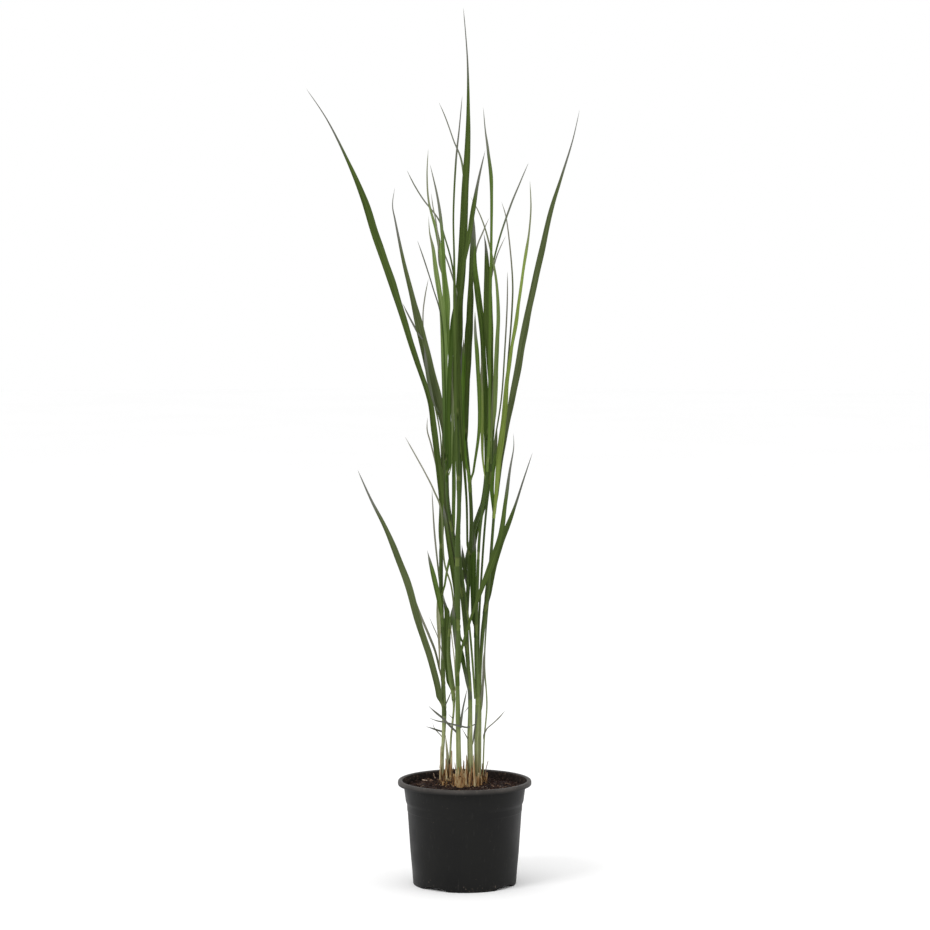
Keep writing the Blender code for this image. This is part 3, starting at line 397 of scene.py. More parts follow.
    "blade_low_left": ("dusky", 15, [
        (-30.4, 43.4, 211, 3), (-32.2, 41, 226, 6.2), (-34.8, 39, 247, 8), (-43, 36, 280, 8.2),
        (-51.5, 33, 307, 8.8), (-60, 29, 334, 9), (-70, 21, 373, 9.8), (-83.5, 11, 412, 8.4),
        (-99, -3, 452, 5.8), (-117.5, -21, 491, 3), (-134, -35, 530, 0.8),
    ]),
    "blade_low_left_thin": ("grey", 0, [
        (-28.5, 50, 246, 2.2), (-36.5, 50, 286, 2.8), (-45.5, 52, 310, 3.2), (-56.5, 56, 336, 2.8),
        (-68.5, 60, 369, 0.8),
    ]),
    "blade_low_left_short": ("green", 0, [
        (-28.5, 41.8, 325, 3.2), (-31.5, 37, 351, 5.6), (-38.5, 30, 385, 6.4), (-43.5, 25, 406, 4.2),
        (-47.5, 22, 423, 0.8),
    ]),
    "blade_low_left_wisp": ("grey", 0, [
        (-30, 50, 361, 2.2), (-34.5, 52, 402, 2.2), (-39, 56, 447, 2.2), (-42, 60, 498, 0.8),
    ]),
}

LEAVES = {**END_LEAVES, **SIDE_LEAVES}

# Small side shoots and thin strands, too slight for the plain solids: look, the stem or leaf that
# carries it and how far below the first point it begins there, where that is known, then the points.
SHOOTS = {
    "shoot_low_left": ("dark", None, 0, [
        (-8.5, -1.5, 192, 2.6), (-21, -6, 205, 2.8), (-27, -8, 212, 2.8), (-36, -12, 220, 2.4),
        (-46, -16, 229.5, 1),
    ]),
    "shoot_low_crossing": ("dark", None, 0, [
        (14.5, 11.5, 202.5, 1.3), (4, 2, 199.5, 2), (-4.5, -6, 202, 2.4), (-11, -7, 203.5, 2.4),
        (-26, -4, 207, 1.9), (-35, 0, 208, 1.6), (-45.5, 3, 211.5, 0.8),
    ]),
    "shoot_low_far": ("dark", None, 0, [
        (-27, 44, 187, 2.2), (-35, 40, 190, 2.4), (-41.5, 38, 192.5, 2), (-50.5, 36, 195.5, 0.7),
    ]),
    "shoot_low_right": ("grey", "culm_right_pale", 6, [
        (24.5, 33, 184, 2), (27, 31, 190.5, 1.7), (29.5, 30, 194.5, 1.4), (37, 26, 201.5, 1.4),
        (45, 22, 210, 1.6), (51.5, 18, 218.5, 0.9),
    ]),
    "shoot_front": ("dark", None, 0, [
        (-6, -1, 199, 4), (-4, -4, 212.5, 3), (-2, -6, 225.5, 2.2), (0.5, -8, 237.5, 1.9), (3, -9, 250, 1),
    ]),
    "shoot_left_short": ("green", None, 0, [
        (-25, 44, 221, 1.6), (-21, 40, 230.5, 1.5), (-18.5, 38, 237, 1.2), (-15.5, 36, 245.5, 0.7),
    ]),
    "shoot_middle_drooping": ("grey", None, 0, [
        (5, 18.5, 223, 1.3), (1.5, 16, 219, 1.2), (-1, 15, 216, 0.7),
    ]),
    "shoot_middle_pale": ("grey", None, 0, [(4.5, 18.5, 181, 1.4), (0, 15, 190, 1.3), (-3.5, 13, 196, 0.6)]),
    "shoot_left_stub": ("grey", None, 0, [(-15, 32, 206, 1.2), (-18.5, 29, 210, 1.2), (-21, 27, 213, 0.6)]),
    "shoot_far_pale": ("grey", "culm_far_left", 5, [
        (-29.5, 45, 181, 1.2), (-35, 42, 187.5, 1.2), (-39, 40, 193, 1), (-41.5, 38, 201, 0.6),
    ]),
    "shoot_left_thin": ("grey", None, 0, [
        (-27.5, 43.5, 279, 1.2), (-30.5, 40, 296.5, 1.1), (-35, 38, 312, 1.1), (-40, 36, 324, 1.1),
        (-45.5, 34, 337, 0.6),
    ]),
    "shoot_dark_leaf": ("dark", "blade_left_dark", 8, [
        (-59, 12.5, 700, 2.2), (-64, 16, 709, 2.4), (-72, 28, 723.5, 2), (-79, 36, 737.5, 0.9),
    ]),
    "shoot_pale_tip": ("grey", "blade_left_upright", 18, [
        (-32, 18, 788, 2.2), (-33.5, 13, 817.5, 1.8), (-36, 10, 840, 1.6), (-40, 7, 860, 1.3),
        (-42, 4, 876, 0.6),
    ]),
    "shoot_high_left": ("green", "blade_tallest", 8, [
        (-9.5, -3.5, 750, 2), (-14.5, 2, 768.5, 2.2), (-20.5, 8, 787, 1.9), (-27.5, 14, 806, 1.4),
        (-31, 18, 820, 0.7),
    ]),
    "shoot_right_back": ("grey", "culm_right_back", 8, [
        (21.8, 29.5, 222, 1.8), (22.6, 30, 236, 2.8), (23, 30.5, 246, 3), (24, 31.5, 262, 3.2),
        (24.5, 32, 280, 3), (26, 33, 300, 0.8),
    ]),
    "shoot_dark_side": ("dark", "blade_left_dark", 10, [
        (-38, 21.5, 608, 2.2), (-44.5, 18, 634, 4.2), (-47.5, 15, 650.5, 4.2), (-49.5, 12, 668.5, 3.2),
        (-51, 9, 685, 1),
    ]),
    "shoot_right_light": ("lime", "culm_right", 8, [
        (26, 17.5, 516.1, 1.2), (24.5, 19, 526.2, 1.9), (22.7, 20.5, 545.2, 3), (22.4, 21, 564.2, 3.8),
        (22, 21, 589.6, 4.4), (21.7, 21, 615, 4.6), (21.3, 21, 640.3, 3.6), (21.6, 21.5, 672, 0.8),
    ]),
    "shoot_centre_back": ("dark", "culm_middle", 7, [
        (2.7, 23, 379.1, 1.8), (2.1, 23.6, 384.2, 3), (1.1, 24.5, 394.3, 5), (-1.5, 25.5, 408.3, 5),
        (-2.7, 26, 421, 3), (-3.6, 26.5, 429.9, 0.8),
    ]),
    "shoot_far_left_sheath": ("pale", "culm_far_left", 9, [
        (-31.9, 45, 264.7, 1.4), (-32.4, 44, 293.2, 2.4), (-32.9, 43, 319.1, 4.6), (-33.9, 42.4, 338.5, 4.8),
        (-33.9, 42, 357.8, 3.6), (-34.4, 41, 373.4, 0.8),
    ]),
    "shoot_front_left": ("deep", None, 0, [
        (-11.4, -1.8, 299, 1.6), (-12.8, -3.2, 322.2, 4.4), (-14, -3.4, 337.5, 4.8),
        (-14.7, -3.4, 350.2, 2.6), (-15.2, -3.4, 360.4, 0.8),
    ]),
    "shoot_inner_pale": ("pale", "culm_left", 10, [
        (-11.5, 27, 246.5, 1.2), (-12, 26, 263.4, 1.4), (-13.1, 25, 282.8, 1.4), (-14.8, 24, 298.3, 1.3),
        (-16.7, 23, 315.1, 1.2), (-18.3, 22, 331.9, 0.6),
    ]),
    "shoot_base_sheath": ("pale", None, 0, [
        (-21.2, 36.4, 121, 4.4), (-21.4, 36.8, 135.4, 4.4), (-21.8, 37.5, 154.7, 4),
        (-22.7, 38.5, 164.8, 2.8), (-23.7, 40, 175, 2), (-24.8, 42, 185, 0.8),
    ]),
    "shoot_right_diagonal": ("dark", "culm_crossing", 8, [
        (10.8, 9.5, 179.7, 1.6), (11.8, 10, 188.7, 1.8), (13.7, 10.4, 201.4, 1.8), (15.6, 10.4, 213, 1.4),
        (16.6, 10.6, 223.2, 0.7),
    ]),
    "shoot_middle_back": ("light", "blade_left_inner", 15, [
        (-16.8, 12, 535, 1.4), (-16.6, 12, 565, 3), (-15, 12, 600, 3.6), (-14.8, 12, 640, 3.4),
        (-15.2, 12, 672, 0.8),
    ]),
    "shoot_middle_edge": ("dark", "blade_inner_long", 10, [
        (-5, 5, 636, 1), (-5, 5, 656, 2.8), (-4.4, 5, 680, 2.6), (-3.8, 5, 700, 0.8),
    ]),
    "shoot_right_fill": ("light", "culm_right_thin", 10, [
        (33.4, 21, 540, 1), (34.2, 21, 570, 2.4), (35, 20.5, 610, 2.4), (35.4, 20, 650, 2),
        (36, 19, 676, 0.8),
    ]),
    "shoot_right_cross": ("grey", "culm_right_thin", 8, [
        (20.5, 22.5, 235.6, 1.4), (22.5, 24, 246.9, 1.6), (24.5, 25, 258.4, 1.4), (25.8, 26, 267.2, 0.7),
    ]),
}

# Looks of the leaves, as screen colours: dark and mid green, veins and midrib, dry tip, foot. A look may
# add how many millimetres the foot's colour reaches and how strong it is there.
LEAF_LOOKS = {
    "deep": ((36, 54, 8), (52, 72, 16), (74, 96, 34), (92, 92, 84), (54, 74, 20)),
    "dark": ((46, 60, 18), (64, 80, 30), (86, 104, 48), (96, 96, 90), (62, 80, 30)),
    "green": ((56, 76, 24), (78, 100, 38), (106, 126, 62), (104, 104, 96), (100, 120, 58)),
    "bright": ((60, 86, 22), (82, 112, 36), (108, 136, 58), (98, 100, 80), (96, 124, 50)),
    "light": ((86, 104, 52), (106, 124, 68), (136, 152, 98), (112, 114, 92), (120, 138, 76)),
    "grey": ((78, 88, 52), (96, 104, 70), (124, 130, 96), (126, 124, 112), (94, 108, 60)),
    "dusky": ((62, 72, 38), (78, 88, 52), (100, 110, 74), (104, 104, 98), (70, 84, 40)),
    "lime": ((98, 116, 46), (118, 136, 62), (146, 162, 92), (112, 114, 92), (126, 144, 68)),
    # This look's dark foot is painted shade on the lower blade, where it stands inside the clump.
    "light_with_painted_shade": ((84, 104, 50), (104, 124, 66), (134, 152, 96), (110, 112, 90), (50, 72, 26), 170.0, 1.0),
    "pale": ((126, 132, 98), (146, 150, 116), (172, 176, 142), (150, 146, 120), (138, 124, 88)),
}

random = np.random.default_rng(7)


def unit(rows):
    return rows / np.linalg.norm(rows, axis=-1, keepdims=True)


def smooth_step(value, low, high):
    share = np.clip((value - low) / (high - low), 0.0, 1.0)
    return share * share * (3.0 - 2.0 * share)


def around(count):
    """Angles of the points of a ring."""
    return FULL_TURN * np.arange(count) / count


def spokes(angles, first, second):
    """For each row of a strand, the directions at these angles from its first axis to its second."""
    return np.cos(angles)[..., None] * first[:, None, :] + np.sin(angles)[..., None] * second[:, None, :]


def put(name, data):
    """A new object in the scene."""
    made = bpy.data.objects.new(name, data)
    bpy.context.scene.collection.objects.link(made)
    return made


def put_mesh(name, work):
    """A new object of a bmesh, which is used up."""
    mesh = bpy.data.meshes.new(name)
    work.to_mesh(mesh)
    work.free()
    return put(name, mesh)


# Strands: smooth curves through a route's points.
def fine_curve(route):
    """Rows of x, y, z and width along the smooth curve through the route."""
    points = np.array(route, float)
    last = len(points) - 1
    share = np.linspace(0.0, 1.0, CURVE_STEPS, endpoint=False)[:, None]
    rows = []
    for i in range(last):
        before, start = points[max(i - 1, 0)], points[i]
        end, after = points[i + 1], points[min(i + 2, last)]
        line = 2.0 * start + (end - before) * share
        bend = (2.0 * before - 5.0 * start + 4.0 * end - after) * share ** 2
        twist = (3.0 * start - before - 3.0 * end + after) * share ** 3
        rows.append(0.5 * (line + bend + twist))
    rows.append(points[-1:])
    return np.vstack(rows)


def travel(curve):
    """Distance along a curve at each of its rows."""
    steps = np.linalg.norm(np.diff(curve[:, :3], axis=0), axis=1)
    return np.concatenate([[0.0], np.cumsum(steps)])


def sample(curve, places):
    """The curve's rows at these distances along it."""
    distance = travel(curve)
    return np.column_stack([np.interp(places, distance, column) for column in curve.T])


def strand_axes(curve, turn):
    """Unit rows along, across and through a strand, turned about it by an angle in radians a row."""
    along = unit(np.gradient(curve[:, :3], axis=0))
    across = unit(np.cross(along, (0.0, 1.0, 0.0)))
    through = np.cross(across, along)
    cosine, sine = np.cos(turn)[:, None], np.sin(turn)[:, None]
    return along, across * cosine + through * sine, through * cosine - across * sine


# Centre line of each stem, from a little inside the rootstock where it stands on it.
CULM_CURVES = {}
for stem, (_, stem_route) in CULMS.items():
    foot = stem_route[0]
    sunk = [(foot[0], foot[1], foot[2] - FOOT_DEPTH, foot[3])] if foot[2] < FOOT_LIMIT else []
    CULM_CURVES[stem] = fine_curve(sunk + stem_route)


# Meshes: rings joined into closed shells, collected and turned into one object.
def bands(grid):
    """Four-sided faces between each ring of point numbers and the next."""
    low, high = grid[:-1], grid[1:]
    return np.stack([low, np.roll(low, -1, 1), np.roll(high, -1, 1), high], -1).reshape(-1, 4).tolist()


def fan(ring, centre):
    """Three-sided faces from a ring of point numbers to one point."""
    return [[point, ring[(i + 1) % len(ring)], centre] for i, point in enumerate(ring)]


class Shells:
    """Closed shells in millimetres, gathered into one mesh with point values for the material."""

    def __init__(self):
        self.points, self.faces, self.values = [], [], []
        self.count = 0

    def add(self, points, faces, values):
        self.points.append(points)
        self.faces.extend([tuple(int(i) + self.count for i in face) for face in faces])
        self.values.append(values)
        self.count += len(points)

    def rings(self, rings, values, tip=None, turned=False):
        """A shell of rings, with point values that are given by ring, by place on a ring or as one number.

        Its ends close flat. A turned shell's close on the axis, and a tip takes the last ring's place.
        """
        rings = np.array(rings)
        kept = len(rings) if tip is None else -1
        values = {name: np.broadcast_to(value, rings.shape[:2]) for name, value in values.items()}
        values = {name: value[:kept].reshape(-1) for name, value in values.items()}
        points = rings[:kept].reshape(-1, 3)
        grid = np.arange(len(points)).reshape(-1, rings.shape[1])
        faces = bands(grid)
        ends = [(0.0, 0.0, rings[i, :, 2].mean()) for i in (0, -1)] if turned else (None, tip)
        for ring, end in zip((grid[0][::-1], grid[-1]), ends):
            if end is None:
                faces.append(ring)
                continue
            faces += fan(ring, len(points))
            points = np.vstack([points, end])
            values = {name: np.append(value, value[-1]) for name, value in values.items()}
        self.add(points, faces, values)

    def build(self, name, material, smooth, replaced=()):
        """The shells as one piece. smooth is the angle in degrees up to which its edges are smooth."""
        mesh = bpy.data.meshes.new(name)
        points = np.vstack(self.points) * MM
        mesh.from_pydata(points.tolist(), [], self.faces)
        for key in self.values[0]:
            attribute = mesh.attributes.new(key, "FLOAT", "POINT")
            column = np.concatenate([value[key] for value in self.values])
            attribute.data.foreach_set("value", column.astype(np.float32))
        work = bmesh.new()
        work.from_mesh(mesh)
        bmesh.ops.recalc_face_normals(work, faces=work.faces)
        work.to_mesh(mesh)
        work.free()
        mesh.shade_smooth()
        mesh.set_sharp_from_angle(angle=math.radians(smooth))
        mesh.materials.append(material)
        piece = put(name, mesh)
        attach(piece, BODY)
        if replaced:
            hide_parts(*replaced)
        return piece


# Pot.
def notch_lift(angle):
    """How far the bottom edge is raised at an angle in degrees: four rounded arches."""
    spacing = 360.0 / NOTCH_COUNT
    offset = (angle - NOTCH_FIRST + spacing / 2) % spacing - spacing / 2
    share = offset / NOTCH_HALF_ANGLE
    if abs(share) >= 1.0:
        return 0.0
    return NOTCH_HEIGHT * math.sqrt(1.0 - share * share)


def pot_profile():
    """Radius, height and share of the notch lift, from the floor's underside round to its top."""
    rim = POT_HEIGHT
    roof = NOTCH_INNER_RADIUS + NOTCH_RAMP
    under = [(NOTCH_INNER_RADIUS, 0.0, 0.0), (roof, 0.0, 1.0), (BASE_RADIUS, 0.0, 1.0)]
    outside = [
        (BASE_RADIUS + 0.6, 7.0),
        (BASE_RADIUS + 1.3, 17.0),
        (WALL_RADIUS_40, 40.0),
        (WALL_RADIUS_94 - 0.5, 93.0),
        (WALL_RADIUS_94, 94.0),
        (WALL_RADIUS_94 + 0.3, COLLAR_LOW),
        (WALL_RADIUS_94 + 1.9, COLLAR_TOP),
        (COLLAR_RADIUS, 125.0),
        (COLLAR_RADIUS + 0.5, rim - 3.6),
    ]
    lip = [
        (LIP_RADIUS - 1.5, rim - 3.6),
        (LIP_RADIUS - 1.3, rim - LIP_DROP + 0.2),
        (LIP_RADIUS - 0.5, rim - LIP_DROP),
        (LIP_RADIUS, rim - LIP_DROP + 0.8),
        (LIP_RADIUS, rim - 2.2),
        (LIP_RADIUS - 0.7, rim - 0.7),
        (LIP_RADIUS - 2.3, rim),
        (LIP_RADIUS - 4.4, rim - 0.1),
        (LIP_INNER, rim - 1.0),
    ]
    # The inside follows these rows of the outside, from the top down.
    inside = [(outside[row][0] - WALL, outside[row][1]) for row in (7, 6, 5, 4, 2, 0)]
    floor = [(BASE_RADIUS - WALL, FLOOR, 1.0), (roof, FLOOR, 1.0), (NOTCH_INNER_RADIUS, FLOOR, 0.0)]
    walls = [(radius, height, 0.0) for radius, height in outside + lip + inside]
    return np.array(under + walls + floor)


def round_corners(profile, reach=0.7):
    """Replace each corner of a profile by a short curve of three points."""
    rows = [profile[0]]
    for before, corner, after in zip(profile, profile[1:], profile[2:]):
        back, ahead = before - corner, after - corner
        start = corner + back * min(0.3, reach / np.linalg.norm(back[:2]))
        end = corner + ahead * min(0.3, reach / np.linalg.norm(ahead[:2]))
        rows += [start, 0.25 * start + 0.5 * corner + 0.25 * end, end]
    rows.append(profile[-1])
    return np.array(rows)


def revolve(profile, segments, first_angle):
    """Rings of a profile of radius, height and lift share turned about Z."""
    angles = first_angle + 360.0 * np.arange(segments) / segments
    turn = np.radians(angles)
    lift = np.array([notch_lift(angle) for angle in angles])
    return np.array([
        np.column_stack([radius * np.cos(turn), radius * np.sin(turn), height + lifted * lift])
        for radius, height, lifted in profile
    ])


def make_drain_cutter():
    """A short rod through the floor at each notch."""
    drains = bmesh.new()
    for i in range(NOTCH_COUNT):
        angle = math.radians(NOTCH_FIRST + i * 360.0 / NOTCH_COUNT)
        radius = DRAIN_RADIUS * MM
        made = bmesh.ops.create_cone(
            drains, cap_ends=True, segments=40, radius1=radius, radius2=radius, depth=DRAIN_CUT * MM
        )
        centre = Vector((DRAIN_RING * math.cos(angle), DRAIN_RING * math.sin(angle), NOTCH_HEIGHT)) * MM
        bmesh.ops.translate(drains, vec=centre, verts=made["verts"])
    return put_mesh("drain_cutter", drains)


def make_pot(material):
    """The pot. Its tone is 1 on the inner wall, which is stained by the peat, and 0 elsewhere."""
    shells = Shells()
    profile = round_corners(pot_profile())
    past_rim = np.arange(len(profile)) > profile[:, 1].argmax()
    inner = past_rim & (profile[:, 0] < LIP_INNER)
    rings = revolve(profile, POT_SEGMENTS, NOTCH_FIRST)
    shells.rings(rings, {"tone": inner[:, None]}, turned=True)
    cutter = make_drain_cutter()
    pot = shells.build("pot_shell", material, 35.0, ["pot"])
    cut = pot.modifiers.new("drains", "BOOLEAN")
    cut.operation = "DIFFERENCE"
    cut.solver = "EXACT"
    cut.object = cutter
    bpy.context.view_layer.update()
    holed = bpy.data.meshes.new_from_object(pot.evaluated_get(bpy.context.evaluated_depsgraph_get()))
    pot.modifiers.clear()
    pot.data = holed
    bpy.data.objects.remove(cutter)


# Soil: an uneven peat surface, with crumbs, bark and fibres lying on it.
def bumps(x, y, scale, seed):
    return noise.noise(Vector((x * scale, y * scale, seed)))


def soil_height(x, y):
    """Height of the peat at a place, a few millimetres under the rim."""
    coarse = 1.3 * bumps(x, y, 0.045, 1.0)
    middle = 0.9 * bumps(x, y, 0.16, 5.0)
    fine = 0.55 * bumps(x, y, 0.45, 9.0)
    return SOIL_TOP - 0.9 + coarse + middle + fine


def make_soil(material):
    inner = WALL + SOIL_CLEARANCE
    ledge = NOTCH_HEIGHT + FLOOR + 0.4
    side = [
        (NOTCH_INNER_RADIUS - 1.0, FLOOR + SOIL_CLEARANCE, 0.0),
        (NOTCH_INNER_RADIUS + NOTCH_RAMP - 0.5, ledge, 0.0),
        (BASE_RADIUS - inner, ledge, 0.0),
        (WALL_RADIUS_40 - inner, 40.0, 0.0),
        (WALL_RADIUS_94 - inner, 94.0, 0.0),
        (WALL_RADIUS_94 + 1.7 - inner, COLLAR_TOP + SOIL_CLEARANCE, 0.0),
        (*SOIL_EDGE, 0.0),
    ]
    rings = list(revolve(side, SOIL_SEGMENTS, 0.0))
    turn = np.radians(360.0 * np.arange(SOIL_SEGMENTS) / SOIL_SEGMENTS)
    for radius in np.linspace(SOIL_OUTER, SOIL_INNER, SOIL_RINGS):
        x, y = radius * np.cos(turn), radius * np.sin(turn)
        z = np.array([soil_height(a, b) for a, b in zip(x, y)])
        dip = SOIL_DIP * max(0.0, radius - SOIL_DIP_START) / (SOIL_OUTER - SOIL_DIP_START)
        rings.append(np.column_stack([x, y, z - dip]))
    shells = Shells()
    shells.rings(rings, {"tone": 0.5}, turned=True)
    shells.build("soil_surface", material, 80.0, ["soil"])


def ball(divisions):
    """Points and faces of a unit ball."""
    work = bmesh.new()
    bmesh.ops.create_icosphere(work, subdivisions=divisions, radius=1.0)
    points = np.array([point.co for point in work.verts])
    faces = [[point.index for point in face.verts] for face in work.faces]
    work.free()
    return points, faces


def turned(points, axis_angle, tilt):
    """Points turned about Z by one angle after a tilt about X."""
    c, s = math.cos(tilt), math.sin(tilt)
    tilted = points @ np.array([[1, 0, 0], [0, c, s], [0, -s, c]])
    c, s = math.cos(axis_angle), math.sin(axis_angle)
    return tilted @ np.array([[c, s, 0], [-s, c, 0], [0, 0, 1]])


def surface_height(x, y):
    """Height of the soil, or of the rootstock where that stands higher."""
    return max(soil_height(x, y), crown_height(x, y))


def place_on_soil(reach):
    """A random place within a radius of the axis."""
    radius = reach * math.sqrt(random.random())
    angle = random.uniform(0.0, FULL_TURN)
    return radius * math.cos(angle), radius * math.sin(angle)


def make_crumbs(material):
    """Peat crumbs and flat bark chips, each a small uneven lump."""
    shells = Shells()
    coarse, fine = ball(1), ball(2)
    for _ in range(CRUMBS):
        x, y = place_on_soil(CRUMB_REACH)
        size = 0.45 + 1.9 * random.random() ** 3.2
        chip = random.random() < CHIP_SHARE
        stretch = np.array(CHIP_SHAPE) if chip else random.uniform(0.65, 1.25, 3)
        points, faces = fine if size > 1.0 else coarse
        lumps = 1.0 + random.uniform(-0.28, 0.28, (len(points), 1))
        turn, tilt = random.uniform(0, CRUMB_TURN), random.uniform(-0.5, 0.5)
        body = turned(points * lumps * size * stretch, turn, tilt)
        if math.hypot(x, y) + np.abs(body[:, :2]).max() > CRUMB_LIMIT:
            continue
        body = body + (x, y, surface_height(x, y) + 0.25 * size * stretch[2])
        tone = random.random() ** (1.2 if chip else 2.4)
        shells.add(body, faces, {"tone": np.full(len(body), tone)})
    shells.build("soil_crumbs", material, 60.0)


def thread(shells, points, radii, tone, sides=5):
    """A thin closed strand of round section along points."""
    points = np.asarray(points, float)
    along = unit(np.gradient(points, axis=0))
    guide = np.where(np.abs(along[:, 2:3]) > 0.9, (0.0, 1.0, 0.0), (0.0, 0.0, 1.0))
    across = unit(np.cross(along, guide))
    circle = spokes(around(sides), across, np.cross(along, across))
    shells.rings(points[:, None, :] + circle * radii[:, None, None], {"tone": tone})


def make_fibres(material):
    """Loose roots and straw lying on the peat, and three short sticks standing in it."""
    shells = Shells()
    for i in range(FIBRES):
        x, y = place_on_soil(FIBRE_REACH)
        heading = random.uniform(0.0, FULL_TURN)
        bend = random.uniform(-0.35, 0.35)
        length = random.uniform(5.0, 20.0)
        thick = random.uniform(0.16, 0.42)
        points = []
        for step in range(FIBRE_STEPS):
            if math.hypot(x, y) > FIBRE_LIMIT:
                break
            lift = 0.35 + 0.5 * math.sin(step * 0.9 + i)
            points.append((x, y, surface_height(x, y) + lift))
            heading += bend + random.uniform(-0.15, 0.15)
            x += length / FIBRE_STEPS * math.cos(heading)
            y += length / FIBRE_STEPS * math.sin(heading)
        if len(points) > 3:
            thread(shells, points, thick * np.linspace(1.0, 0.5, len(points)), random.random())
    for start, end, thick in STICKS:
        points = np.linspace(start, end, 8)
        points[:, 0] += 0.35 * np.sin(np.arange(8) * 1.1)
        thread(shells, points, thick * np.linspace(1.0, 0.7, 8), 0.95, sides=8)
    shells.build("soil_fibres", material, 60.0)


# Rootstock: a low fibrous mound with cut, hollow stubs of last year.
def crown_wave(angle):
    """How far the rootstock's uneven edge lies out at an angle, as a share."""
    return 1.0 + 0.05 * np.sin(3.0 * angle + 0.7) + 0.035 * np.sin(5.0 * angle + 2.0)


def on_crown(reach, angle):
    """Place at a share of the rootstock's reach and an angle."""
    x = CROWN_CENTRE[0] + CROWN_RADII[0] * reach * np.cos(angle)
    y = CROWN_CENTRE[1] + CROWN_RADII[1] * reach * np.sin(angle)
    return x, y


def place_on_crown(reach):
    """A random place on the rootstock, within a share of its reach."""
    angle = random.uniform(0.0, FULL_TURN)
    return on_crown(math.sqrt(random.random()) * reach, angle)


def crown_height(x, y):
    """Height of the rootstock at a place, or 0 outside it."""
    across, deep = (x - CROWN_CENTRE[0]) / CROWN_RADII[0], (y - CROWN_CENTRE[1]) / CROWN_RADII[1]
    reach = math.hypot(across, deep) / crown_wave(math.atan2(deep, across))
    if reach >= 1.0:
        return 0.0
    rough = 0.7 * bumps(x, y, 0.25, 3.0) + 0.5 * bumps(x, y, 0.7, 8.0)
    return CROWN_EDGE + (CROWN_TOP - CROWN_EDGE - 0.6) * (1.0 - reach ** 3) + rough * (1.0 - reach ** 6)


def make_crown_mound(shells):
    turn = around(CROWN_SEGMENTS)
    rings = []
    # The first ring is the mound's underside, which lies in the peat.
    for reach in [0.6, *np.linspace(0.995, 0.02, CROWN_RINGS)]:
        x, y = on_crown(reach * crown_wave(turn), turn)
        z = np.array([crown_height(a, b) for a, b in zip(x, y)]) if rings else np.full(len(x), CROWN_FOOT)
        rings.append(np.column_stack([x, y, z]))
    shells.rings(rings, {"tone": 0.15}, turned=True)


def add_stub(shells, x, y, height, lean_x, lean_y, width, tone):
    """A cut stem: a hollow tube with a torn upper edge."""
    foot = CROWN_TOP - STUB_DEPTH
    rise = CROWN_TOP + height - foot
    turn = around(STUB_SIDES)
    ragged = random.uniform(-0.5, 0.5, STUB_SIDES) * min(1.0, 0.1 * height + 0.2)
    torn = 0.28 * width * np.cos(turn + x) + ragged
    grooves = 1.0 + 0.06 * np.cos(5.0 * turn + y)
    # Share of the height, share of the width and of the tear: up the outside, then down the hollow.
    levels = [
        (0.0, 1.0, 0.0), (0.35, 0.9, 0.0), (0.7, 0.74, 0.4), (1.0, 0.46, 1.6),
        (1.0, 0.26, 1.5), (1.0 - min(0.4, 5.0 / rise), 0.2, 0.4),
    ]
    rings = []
    for share, wide, edge in levels:
        reach = 0.5 * width * wide * grooves
        px = x + lean_x * share + reach * np.cos(turn)
        py = y + lean_y * share + reach * np.sin(turn)
        rings.append(np.column_stack([px, py, foot + rise * share + edge * torn]))
    shells.rings(rings, {"tone": tone})


def make_crown(material):
    shells = Shells()
    make_crown_mound(shells)
    for stub in STUBBLE:
        tone = random.uniform(0.45, 1.0)
        add_stub(shells, *stub, 1.0 if stub[2] > TALL_STUB else tone)
    for stub in SKIRT:
        add_stub(shells, *stub, random.uniform(0.3, 0.95))
    for _ in range(LOW_STUBS):
        x, y = place_on_crown(0.86)
        lean = random.uniform(-1.5, 1.5, 2)
        add_stub(shells, x, y, random.uniform(0.5, 6.0), *lean, random.uniform(1.4, 3.2), random.random())
    for _ in range(SHREDS):
        x, y = place_on_crown(0.95)
        low = crown_height(x, y)
        if low == 0.0:
            continue
        length = random.uniform(4.0, 15.0)
        lean = random.uniform(-0.7, 0.7, 2)
        share = np.linspace(0.0, 1.0, 7)
        points = np.column_stack([
            x + lean[0] * length * share ** 1.5,
            y + lean[1] * length * share ** 1.5,
            low - 0.5 + length * (share - 0.45 * share ** 2),
        ])
        thread(shells, points, random.uniform(0.2, 0.5) * (1.0 - 0.6 * share), random.random())
    shells.build("crown_stubble", material, 60.0, ["crown"])


def add_scale(shells, curve, facing, half_angle, height, clearance, tone):
    """A dry leaf base: a thin ragged strip round the foot of a stem."""
    levels = np.linspace(0.0, 1.0, SCALE_STEPS)
    torn = random.uniform(0.75, 1.0, SCALE_STEPS)
    rings = []
    for level, row in zip(levels, sample(curve, 1.0 + levels * height)):
        spread = half_angle * (1.0 - 0.75 * level ** 2)
        reach = 0.5 * row[3] + (clearance + 1.4 * level ** 3)
        outer, inner = [], []
        for side, kept in zip(np.linspace(-1.0, 1.0, SCALE_STEPS), torn):
            angle = facing + spread * side
            direction = np.array([math.cos(angle), math.sin(angle), 0.0])
            drop = np.array([0.0, 0.0, -height * (1.0 - kept) * level])
            outer.append(row[:3] + direction * (reach + 0.2) + drop)
            inner.append(row[:3] + direction * (reach - 0.1) + drop)
        rings.append(np.array(outer + inner[::-1]))
    shells.rings(rings, {"tone": tone})


